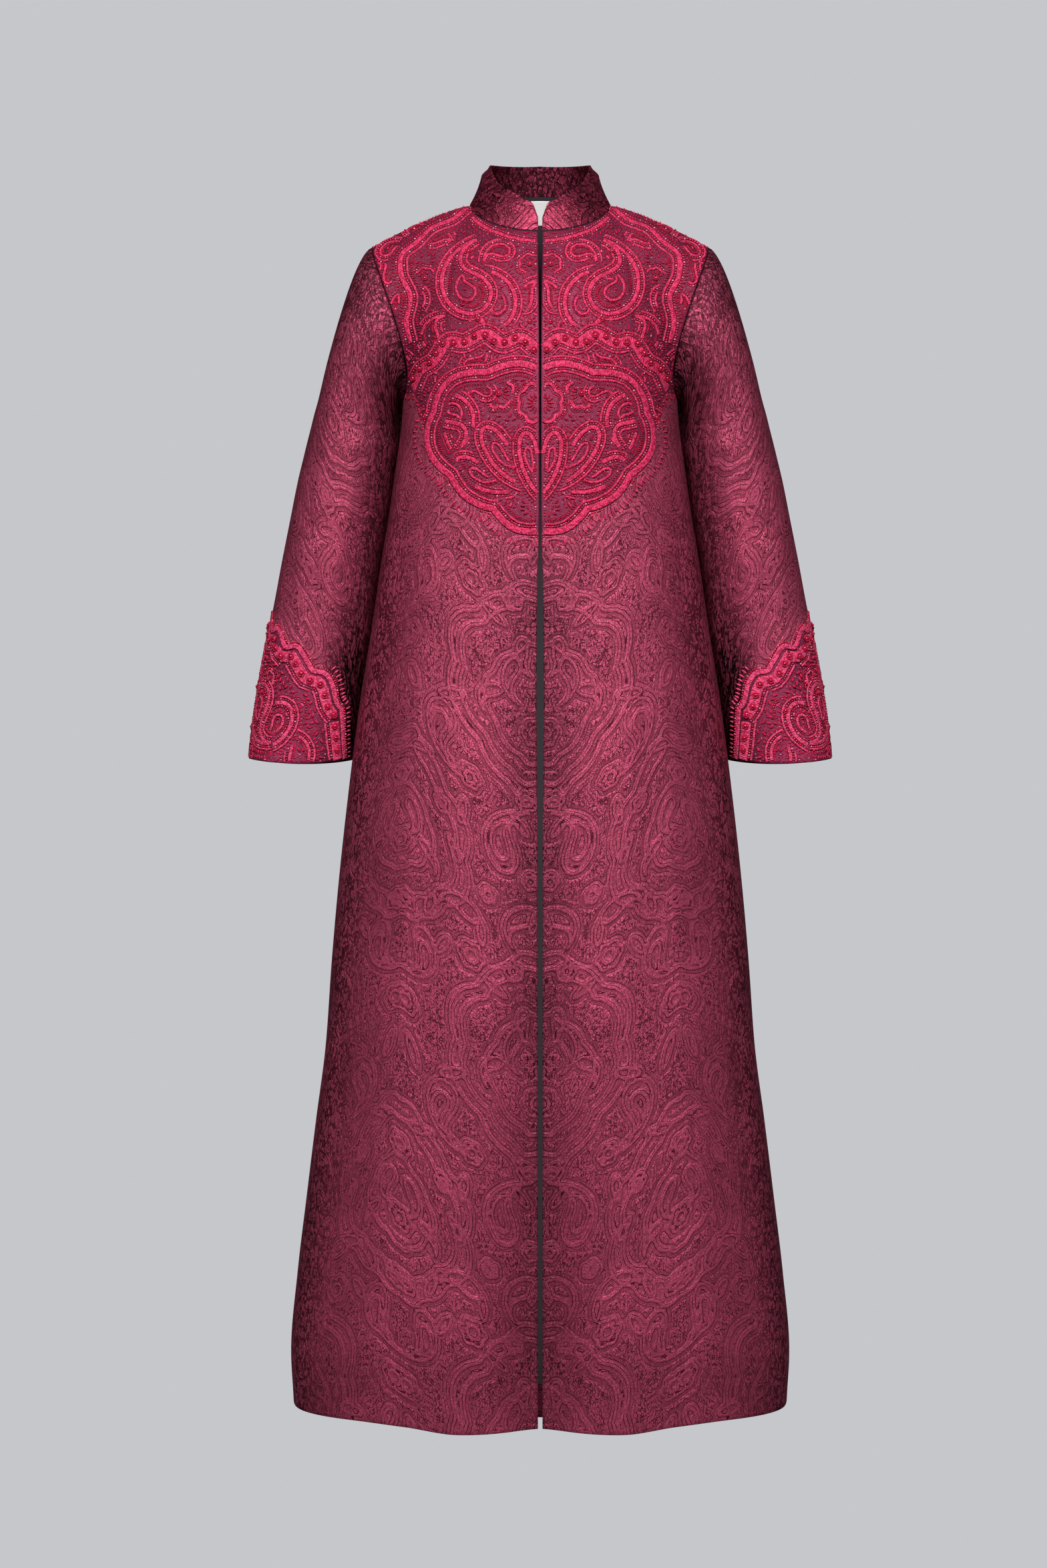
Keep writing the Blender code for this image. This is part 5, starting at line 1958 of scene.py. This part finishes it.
        share, extra, largest = FLOWER_KNOT
        knot = min(share * radius + extra, largest)
        self.knot(x, y, knot)
        band, beads, cord = (ring_line(*ring) for ring in FLOWER_RINGS)
        self.band(band, FLOWER_BANDS[0 if radius < LARGE_FLOWER else 1])
        core = knot + FLOWER_GAP
        length = min(max(radius - core - 0.0032, 0.0040), 0.0085)
        rings = int((radius - core - 0.003) // (length + FLOWER_GAP)) or 1
        for ring in range(rings):
            reach = core + (ring + 0.5) * length + ring * FLOWER_GAP
            count = max(int(2.0 * math.pi * reach / FLOWER_LEAF_PITCH), 5)
            for step in range(count):
                degrees = 360.0 * (step + 0.5 * ring) / count
                self.leaf(*out_from(x, y, reach, degrees), degrees, length)
        self.bead_row(beads)
        self.cord(cord)

    def echoes(self):
        """Cords that repeat every outline on both its sides."""
        for line, width in self.outlines:
            away = 0.5 * width + OUTLINE_GAP + 0.5 * ECHO_CORD_GAP
            for side in (-1.0, 1.0):
                for run in beside(line, side * away):
                    self.cord(run)

    def fill(self, corners, seed):
        """Small leaves and seed beads in the places that are still free."""
        chance = random.Random(seed)
        low, high = corners
        columns, rows = (int((high[axis] - low[axis]) / FILL_SPACING) for axis in range(2))
        for row in range(rows):
            for column in range(columns):
                x = low[0] + (column + 0.5 + 0.5 * (chance.random() - 0.5)) * FILL_SPACING
                y = low[1] + (row + 0.5 + 0.5 * (chance.random() - 0.5)) * FILL_SPACING
                degrees = chance.random() * 180.0
                if self.fits(x, y) and not self.leaf(x, y, degrees):
                    self.bead(x, y, SEED_RADIUS, 0.8)

    def doubled(self):
        """Repeat every stitch on the other side of the layout's zero line."""
        flip = np.array([-1.0, 1.0])
        self.bands += [(run[::-1] * flip, width, height) for run, width, height in self.bands]
        self.cords += [(run[::-1] * flip, radius) for run, radius in self.cords]
        self.beads += [(-x, y, radius) for x, y, radius in self.beads]
        self.knots += [(-x, y, radius) for x, y, radius in self.knots]
        self.leaves += [(-x, y, 180.0 - d, n, w) for x, y, d, n, w in self.leaves]
        self.picks += [(-x, y, 180.0 - d, n, w) for x, y, d, n, w in self.picks]


def strip_object(name, strips, finish, closed):
    """One object from many strips, each a grid of points with its run and width."""
    net = bmesh.new()
    uv = net.loops.layers.uv.new("thread")
    for grid, runs, wides in strips:
        rows, columns = grid.shape[:2]
        made = bmesh.ops.create_grid(net, x_segments=columns - 1, y_segments=rows - 1, size=0.5)
        for corner in made["verts"]:
            column = round((corner.co.x + 0.5) * (columns - 1))
            row = round((corner.co.y + 0.5) * (rows - 1))
            corner.co = grid[row, column]
            for loop in corner.link_loops:
                loop[uv].uv = (runs[row], wides[column])
    if closed:
        bmesh.ops.remove_doubles(net, verts=net.verts[:], dist=MERGE_DISTANCE)
    mesh = bpy.data.meshes.new(name)
    net.to_mesh(mesh)
    net.free()
    return linked(name, mesh, finish)


def linked(name, mesh, finish=None):
    """An object in the scene for a mesh, smooth-shaded where it takes a finish."""
    if finish:
        mesh.shade_smooth()
        mesh.materials.append(finish)
    piece = bpy.data.objects.new(name, mesh)
    bpy.context.scene.collection.objects.link(piece)
    return piece


def strip_grid(place, line, section, lift=0.0):
    """A section of (sideways, upwards) sizes swept along a line on the cloth."""
    points, normals = place(line)
    along = unit(np.gradient(points, axis=0))
    across = unit(np.cross(normals, along))
    section = np.array(section) + (0.0, lift)
    side, up = section[None, :, 0, None], section[None, :, 1, None]
    grid = points[:, None] + across[:, None] * side + normals[:, None] * up
    return grid, walked(points), walked(section)


def band_section(width, height):
    """Domed band of parallel rows of stitches: sideways and upwards."""
    rows = max(int(round(width / STITCH_ROW_WIDTH)), 1)
    shares = np.linspace(-0.5, 0.5, 2 * rows + 1)
    section = [(-0.5 * width, -0.25 * height)]
    for step, share in enumerate(shares):
        dome = 1.0 - 1.2 * abs(share) ** 2
        lift = dome if step % 2 else 0.72 * dome
        section.append((0.96 * share * width, lift * height + STITCH_LIFT))
    section.append((0.5 * width, -0.25 * height))
    return section


def shadow_strip_section(width):
    """Flat dark strip under a band, wider than it, that shows on both sides as painted shadow."""
    half = 0.5 * width + SHADOW_STRIP_REACH
    return [(share * half, up) for share, up in SHADOW_STRIP_PROFILE]


def cord_section(radius, sides=4):
    """Round section of a cord that lies on the cloth."""
    turns = [2.0 * math.pi * step / sides + 0.25 * math.pi for step in range(sides)]
    rise = 0.6 * radius
    return [
        (-radius * math.cos(turn), radius * math.sin(turn) + rise + STITCH_LIFT)
        for turn in turns + turns[:1]
    ]


def unit_shape(make):
    """Corner points and faces of a small shape made once by a bmesh operator.

    The faces are sorted, because a cut leaves them in an order that changes between runs.
    """
    net = bmesh.new()
    make(net)
    net.verts.index_update()
    points = np.array([corner.co[:] for corner in net.verts])
    faces = sorted([corner.index for corner in face.verts] for face in net.faces)
    net.free()
    return points, faces


def ball(net):
    """A small faceted ball."""
    bmesh.ops.create_icosphere(net, subdivisions=1, radius=1.0)


def pad(net):
    """The upper part of a rounded, pointed pad."""
    bmesh.ops.create_uvsphere(net, u_segments=8, v_segments=6, radius=1.0)
    whole = net.verts[:] + net.edges[:] + net.faces[:]
    low = (0, 0, -0.3)
    bmesh.ops.bisect_plane(net, geom=whole, plane_co=low, plane_no=(0, 0, -1), clear_outer=True)
    for corner in net.verts:
        corner.co.y *= 1.0 - 0.55 * abs(corner.co.x) ** 3


def stamped(name, shape, place, spots, finish):
    """One object from a small shape repeated at many spots.

    A spot gives its place, its turn in degrees, half length, half width, height and lift.
    """
    unit_points, faces = shape
    spots = np.array(spots, dtype=float)
    points, normals = place(spots[:, :2])
    turn = np.radians(spots[:, 2])
    ahead = spots[:, :2] + 0.001 * np.stack([np.cos(turn), np.sin(turn)], axis=1)
    along = place(ahead)[0] - points
    along = unit(along - normals * (along * normals).sum(axis=1, keepdims=True))
    across = np.cross(normals, along)
    raised = spots[:, 5, None] * (unit_points[None, :, 2] + 0.35) + spots[:, 6, None]
    corners = (
        points[:, None]
        + along[:, None] * (spots[:, 3, None] * unit_points[None, :, 0])[..., None]
        + across[:, None] * (spots[:, 4, None] * unit_points[None, :, 1])[..., None]
        + normals[:, None] * raised[..., None]
    )
    count = len(unit_points)
    starts = [count * step for step in range(len(spots))]
    every = [[start + index for index in face] for start in starts for face in faces]
    mesh = bpy.data.meshes.new(name)
    mesh.from_pydata(corners.reshape(-1, 3).tolist(), [], every)
    layer = mesh.uv_layers.new(name="thread")
    corner_of = np.empty(len(mesh.loops), dtype=int)
    mesh.loops.foreach_get("vertex_index", corner_of)
    local = unit_points[corner_of % count]
    size = spots[corner_of // count]
    run = size[:, 0] * 7.0 + local[:, 0] * size[:, 3]
    layer.uv.foreach_set("vector", np.stack([run, local[:, 1] * size[:, 4]], 1).ravel())
    return linked(name, mesh, finish)


def stitched(work, finishes):
    """Make the objects of one field of embroidery."""

    def strips(title, finish, made, closed):
        name = work.name + "_" + title
        grids = [strip_grid(work.place, *strip) for strip in made]
        return strip_object(name, grids, finishes[finish], closed)

    def stamps(title, finish, shape, spots):
        name = work.name + "_" + title
        return stamped(name, unit_shape(shape), work.place, spots, finishes[finish])

    bands = [(run, band_section(width, height)) for run, width, height in work.bands]
    # Painted shadow: dark strips under the bands
    outlines = [(run, shadow_strip_section(width)) for run, width, height in work.bands]
    cords = [(run, cord_section(radius)) for run, radius in work.cords]
    rings = []
    for x, y, radius in work.knots:
        ring = looped(placed(rosette_outline(radius * 0.74, 5, 0.0, 10), x, y), 0.45 * radius)
        rings.append((ring, cord_section(0.28 * radius), KNOT_LIFT))
    beads = [(x, y, 0.0, radius, radius, radius, 0.0) for x, y, radius in work.beads]
    # Every few beads are pale pink: painted glints on the beads
    glint_crystals = beads[::GLINT_CRYSTAL_SHARE]
    beads = [bead for step, bead in enumerate(beads) if step % GLINT_CRYSTAL_SHARE]
    beads += [(x, y, 0.0, 0.62 * r, 0.62 * r, 0.60 * r, KNOT_LIFT) for x, y, r in work.knots]
    leaves = [(x, y, d, 0.5 * n, 0.5 * w, 0.44 * w, 0.0) for x, y, d, n, w in work.leaves]
    picks = [(x, y, d, 0.5 * n, 0.5 * w, 0.5 * w, STITCH_LIFT) for x, y, d, n, w in work.picks]
    return [
        strips("bands", "bright", bands, False),
        strips("outlines", "shade", outlines, False),
        strips("cords", "deep", cords, True),
        strips("knots", "deep", rings, True),
        stamps("beads", "beads", ball, beads),
        stamps("glint_crystals", "crystal", ball, glint_crystals),
        stamps("leaves", "deep", pad, leaves),
        stamps("picks", "bright", pad, picks),
    ]


def on_front(piece):
    """Function that sets flat places, seen from the front, on the front panel."""
    net = bmesh.new()
    net.from_mesh(piece.data)
    tree = BVHTree.FromBMesh(net)
    net.free()

    def place(spots):
        points, normals = [], []
        for x, z in spots:
            hit, normal = tree.ray_cast(Vector((x, -1.0, z)), Vector((0.0, 1.0, 0.0)))[:2]
            if hit is None:
                hit, normal = tree.find_nearest(Vector((x, -0.1, z)))[:2]
            if normal.y > 0.0:
                normal = -normal
            points.append(hit[:])
            normals.append(normal[:])
        return np.array(points), np.array(normals)

    return place


def yoke_allowed():
    """Function that tells which flat places lie on the embroidered part of the front."""
    arm = traced(functools.partial(armhole, -1), np.linspace(0.0, 1.0, 40))
    neck = traced(neck_seam, np.linspace(-90.0, 0.0, 40))
    shoulder = traced(shoulder_seam, np.linspace(0.0, 1.0, 20))
    top = np.concatenate([neck, shoulder[1:]])

    def allowed(spots):
        x, z = spots[:, 0], spots[:, 1]
        below_top = z < np.interp(x, top[:, 0], top[:, 2]) - 0.6 * YOKE_MARGIN
        inside_arm = x < np.interp(-z, -arm[:, 2], arm[:, 0]) - YOKE_MARGIN
        above_edge = z > read_line(x, YOKE_EDGE) - YOKE_MARGIN
        beside_arm = inside_arm | (z < ARM_CLEAR_HEIGHT)
        return (x > CENTRE_CLEARANCE) & below_top & beside_arm & above_edge

    return allowed


def border_line():
    """The lobed border of the yoke, from its lowest point up and back to the centre."""
    degrees = np.linspace(-90.0, 90.0, 181)
    reach = np.array([read_table(YOKE_BORDER, d) for d in degrees])
    turn = np.radians(degrees)
    lobes = np.abs(np.sin(BORDER_LOBES * (turn + 0.5 * math.pi)))
    reach = reach + BORDER_LOBE_DEPTH * (lobes - 0.4)
    line = np.stack([reach * np.cos(turn), BORDER_CENTRE_HEIGHT + reach * np.sin(turn)], axis=1)
    line = evenly(line, PATH_STEP)
    return line[line[:, 0] > CENTRE_CLEARANCE]


def lay_yoke(work):
    """Lay out the yoke: bordered medallion with a fan, lobed band, shoulder and neck bands."""
    border = border_line()
    work.band(border, *BORDER_BAND)
    work.flanked(border, BORDER_ROWS)
    work.leaf_row(border, BORDER_LEAVES_DISTANCE, *BORDER_LEAVES)
    upper = smooth_line(UPPER_BAND)
    for x, z in evenly(upper, YOKE_KNOT_PITCH)[:-1] + (YOKE_KNOT_SHIFT, 0.0):
        work.knots.append((x, z, KNOT_RADIUS))
    work.band(upper, UPPER_BAND_WIDTH, FLAT_BAND_HEIGHT)
    half = 0.5 * UPPER_BAND_WIDTH
    for gap, kind in UPPER_ROWS:
        work.flanked(upper, ((half + gap, kind), (-half - gap, kind)))
    shoulder = smooth_line(SHOULDER_BAND)
    work.band(shoulder, *RAISED_BAND)
    work.flanked(shoulder, SHOULDER_ROWS)
    for distance in SHOULDER_LEAVES_DISTANCES:
        work.leaf_row(shoulder, distance, *BAND_LEAVES)
    for distance in (half + UPPER_LEAVES_DISTANCE, -half - UPPER_LEAVES_DISTANCE):
        work.leaf_row(upper, distance, *BAND_LEAVES)
    neck = smooth_line(NECK_BAND)
    work.band(neck)
    work.flanked(neck, NECK_ROWS)
    for degrees, start, length, width, bend in FAN_PETALS:
        x, z = out_from(*FAN_ROOT, start + 0.5 * length, degrees)
        work.teardrop(x, z, length, width, degrees + 180.0, bend)
    for row in YOKE_TEARDROPS:
        work.teardrop(*row)
    for row in YOKE_ROSETTES:
        work.rosette(*row)
    seam = traced(shoulder_seam, np.linspace(0.0, 1.0, 40))
    for run in beside(evenly(seam[:, ::2], PATH_STEP), SHOULDER_BEADS_INSET):
        work.bead_row(run, SHOULDER_BEAD_RADIUS, 2.6 * SHOULDER_BEAD_RADIUS)
    work.bead_row(evenly(np.array(CENTRE_BEADS), PATH_STEP))
    work.fringe(border[border[:, 1] < FRINGED_BORDER_TOP], *YOKE_FRINGE)
    work.echoes()
    work.fill(YOKE_FILL, EMBROIDERY_SEED)


def on_sleeve():
    """Function that sets flat places, round from the outer edge and by height, on the sleeve."""
    points, normals = sleeve_grid()
    middle = points.shape[1] // 2
    walk = walked(points, 1)
    walk = walk[:, middle : middle + 1] - walk
    columns = np.arange(points.shape[1])[::-1]
    rows = np.arange(points.shape[0])

    def row_between(grid, place):
        low = int(min(max(place, 0), len(grid) - 2))
        share = place - low
        return grid[low] * (1.0 - share) + grid[low + 1] * share

    def place(spots):
        found = []
        for across, height in spots:
            column = float(middle)
            for _ in range(SEEK_STEPS):
                row = np.interp(-height, -row_between(points[..., 2].T, column), rows)
                column = np.interp(across, row_between(walk, row)[::-1], columns)
            found.append((row, column))
        row, column = np.array(found).T
        return between(points, row, column), unit(between(normals, row, column))

    return place, points, walk


def lay_cuff(work, boundary, hem):
    """Lay out the cuff: a lobed bobble band along the boundary, paisleys and flowers below."""
    first, second = CUFF_BAND_INSETS
    work.bead_row(boundary)
    for run in beside(boundary, first):
        work.band(run, RAISED_BAND[0])
    half = 0.5 * CUFF_BAND_WIDTH
    for run in beside(boundary, second):
        for x, z in evenly(run, CUFF_KNOT_PITCH):
            if work.fits(x, z):
                work.knots.append((x, z, KNOT_RADIUS))
        work.band(run, CUFF_BAND_WIDTH, FLAT_BAND_HEIGHT)
        work.flanked(run, [(half + gap, kind) for gap, kind in CUFF_BAND_ROWS])
    work.flanked(hem, CUFF_HEM_ROWS)
    for row in CUFF_TEARDROPS:
        work.teardrop(*row)
    for row in CUFF_ROSETTES:
        work.rosette(*row)
    work.fringe(boundary[boundary[:, 1] < FRINGED_CUFF_TOP], *CUFF_FRINGE)
    work.echoes()
    work.fill(CUFF_FILL, EMBROIDERY_SEED + 1)
    work.doubled()


def make_cuff(finishes):
    """Embroidery all round the cuff of the +X sleeve."""
    place, points, walk = on_sleeve()
    middle = points.shape[1] // 2
    rows = np.arange(len(points))
    line = []
    for step, height in enumerate(cuff_edge(np.linspace(0.0, 180.0, middle + 1))):
        row = np.interp(-height, -points[:, middle - step, 2], rows)
        line.append((np.interp(row, rows, walk[:, middle - step]), height))
    line = np.array(line)
    hem = np.stack([walk[-1, middle::-1], points[-1, middle::-1, 2]], axis=1)
    floor = read_line(line[:, 0], hem)
    boundary = evenly(line[line[:, 1] > floor + CUFF_HEM_MARGIN], PATH_STEP)
    hem = evenly(hem, PATH_STEP)

    def allowed(spots):
        x, z = spots[:, 0], spots[:, 1]
        under = z < read_line(x, line) + CUFF_EDGE_MARGIN
        over = z > read_line(x, hem) + CUFF_HEM_MARGIN
        return (x > CUFF_EDGE_MARGIN) & under & over

    work = Embroidery("cuff_left", place, allowed)
    lay_cuff(work, boundary, hem)
    return stitched(work, finishes)


def light_panel(name, place, target, size, power, glossy):
    """A soft studio light that faces a target."""
    lamp = bpy.data.lights.new(name, "AREA")
    lamp.shape = "RECTANGLE"
    lamp.size, lamp.size_y = size
    lamp.energy = power
    lit = bpy.data.objects.new(name, lamp)
    lit.location = place
    lit.rotation_euler = (Vector(target) - Vector(place)).to_track_quat("-Z", "Y").to_euler()
    lit.visible_camera = False
    lit.visible_glossy = glossy
    bpy.context.scene.collection.objects.link(lit)


def make_studio():
    """Camera, plain pale surroundings, floor and soft lights."""
    scene = bpy.context.scene
    eye = bpy.data.cameras.new("eye")
    eye.sensor_width = SENSOR_WIDTH
    eye.lens = SENSOR_WIDTH * CAMERA_DISTANCE / FRAME_HEIGHT
    eye.shift_x = -GARMENT_OFFSET_PIXELS / PHOTO_HEIGHT_PIXELS
    camera = bpy.data.objects.new("eye", eye)
    camera.location = (0.0, -CAMERA_DISTANCE, CAMERA_HEIGHT)
    camera.rotation_euler = (0.5 * math.pi, 0.0, 0.0)
    scene.collection.objects.link(camera)
    scene.camera = camera
    world = bpy.data.worlds.new("studio")
    world.use_nodes = True
    tree = world.node_tree
    tree.nodes.clear()
    seen = add_node(tree, "ShaderNodeBackground", {"Color": BACKDROP, "Strength": 1.0})
    fill = add_node(tree, "ShaderNodeBackground", {"Color": FILL_LIGHT, "Strength": FILL_STRENGTH})
    path = add_node(tree, "ShaderNodeLightPath")
    both = add_node(tree, "ShaderNodeMixShader")
    out = add_node(tree, "ShaderNodeOutputWorld")
    link(tree, (path, "Is Camera Ray"), both, 0)
    link(tree, (fill, 0), both, 1)
    link(tree, (seen, 0), both, 2)
    link(tree, (both, 0), out, "Surface")
    scene.world = world
    bpy.ops.mesh.primitive_plane_add(size=FLOOR_SIZE, location=(0.0, 0.0, FLOOR_HEIGHT))
    floor = bpy.context.object
    floor.name = "floor"
    pale = bpy.data.materials.new("pale_floor")
    pale.use_nodes = True
    set_inputs(pale.node_tree.nodes["Principled BSDF"], {
        "Base Color": (0.0, 0.0, 0.0, 1.0),
        "Specular IOR Level": 0.0,
        "Emission Color": BACKDROP,
        "Emission Strength": 1.0,
    })
    floor.data.materials.append(pale)
    floor.visible_diffuse = False
    floor.visible_glossy = False
    for panel in STUDIO_LIGHTS:
        light_panel(*panel)
    scene.view_settings.view_transform = "Standard"


def main():
    """Build every piece and the studio."""
    field = woven_field()
    relief = woven_relief()
    wine = jacquard("wine_jacquard_satin", relief, WINE_COLOURS, *WINE_SURFACE)
    collar_wine = jacquard("wine_collar_satin", relief, COLLAR_COLOURS, *COLLAR_SURFACE)
    charcoal = plain_cloth("charcoal_satin_with_neck_shade", CHARCOAL, *LINING_WEAVE, NECK_PAINTED_SHADE_CHARCOAL)
    white = plain_cloth("white_tape", LABEL_WHITE, *LABEL_WEAVE)
    front_left = make_front(field, wine)
    sleeve_left = make_sleeve(field, wine)
    finishes = {
        "bright": thread("bright_thread", BRIGHT_THREAD, *BRIGHT_STITCH),
        "deep": thread("deep_thread", DEEP_THREAD, *DEEP_STITCH),
        "shade": thread("painted_shadow_thread", PAINTED_SHADOW_THREAD, *PAINTED_SHADOW_STITCH),
        "crystal": bead_glass("glint_crystal_glass", GLINT_CRYSTAL_PINK),
        "beads": bead_glass("red_beads", BEAD_RED),
    }
    # The cuffs take lighter copies of the threads: painted light
    cuff_painted_light_finishes = dict(
        finishes,
        bright=thread("cuff_bright_thread", CUFF_PAINTED_LIGHT_BRIGHT_THREAD, *BRIGHT_STITCH),
        deep=thread("cuff_painted_light_deep_thread", CUFF_PAINTED_LIGHT_DEEP_THREAD, *DEEP_STITCH),
    )
    yoke = Embroidery("yoke_left", on_front(front_left), yoke_allowed())
    lay_yoke(yoke)
    trims = stitched(yoke, finishes) + make_cuff(cuff_painted_light_finishes)
    for trim in list(trims):
        trims.append(mirrored(trim, trim.name.replace("left", "right")))
    for trim in trims:
        dressed(trim, "wine_jacquard")
    front_right = mirrored(front_left, "front_panel_right")
    sleeve_right = mirrored(sleeve_left, "sleeve_panel_right")
    back = make_back(field, wine)
    collar = make_collar(field, collar_wine)
    lining = make_lining(charcoal)
    label = make_label(white)
    sheets = (front_left, front_right, back, sleeve_left, sleeve_right, collar, lining, label)
    cuts = [dict(zip(CUT_COLUMNS, row)) for row in CUTS]
    for sheet, cut in zip(sheets, cuts):
        dressed(sheet, cut["slot"], cut["node"])
    for sheet, cut in zip(sheets, cuts):
        list(cut["rests_on"])
    make_studio()


main()
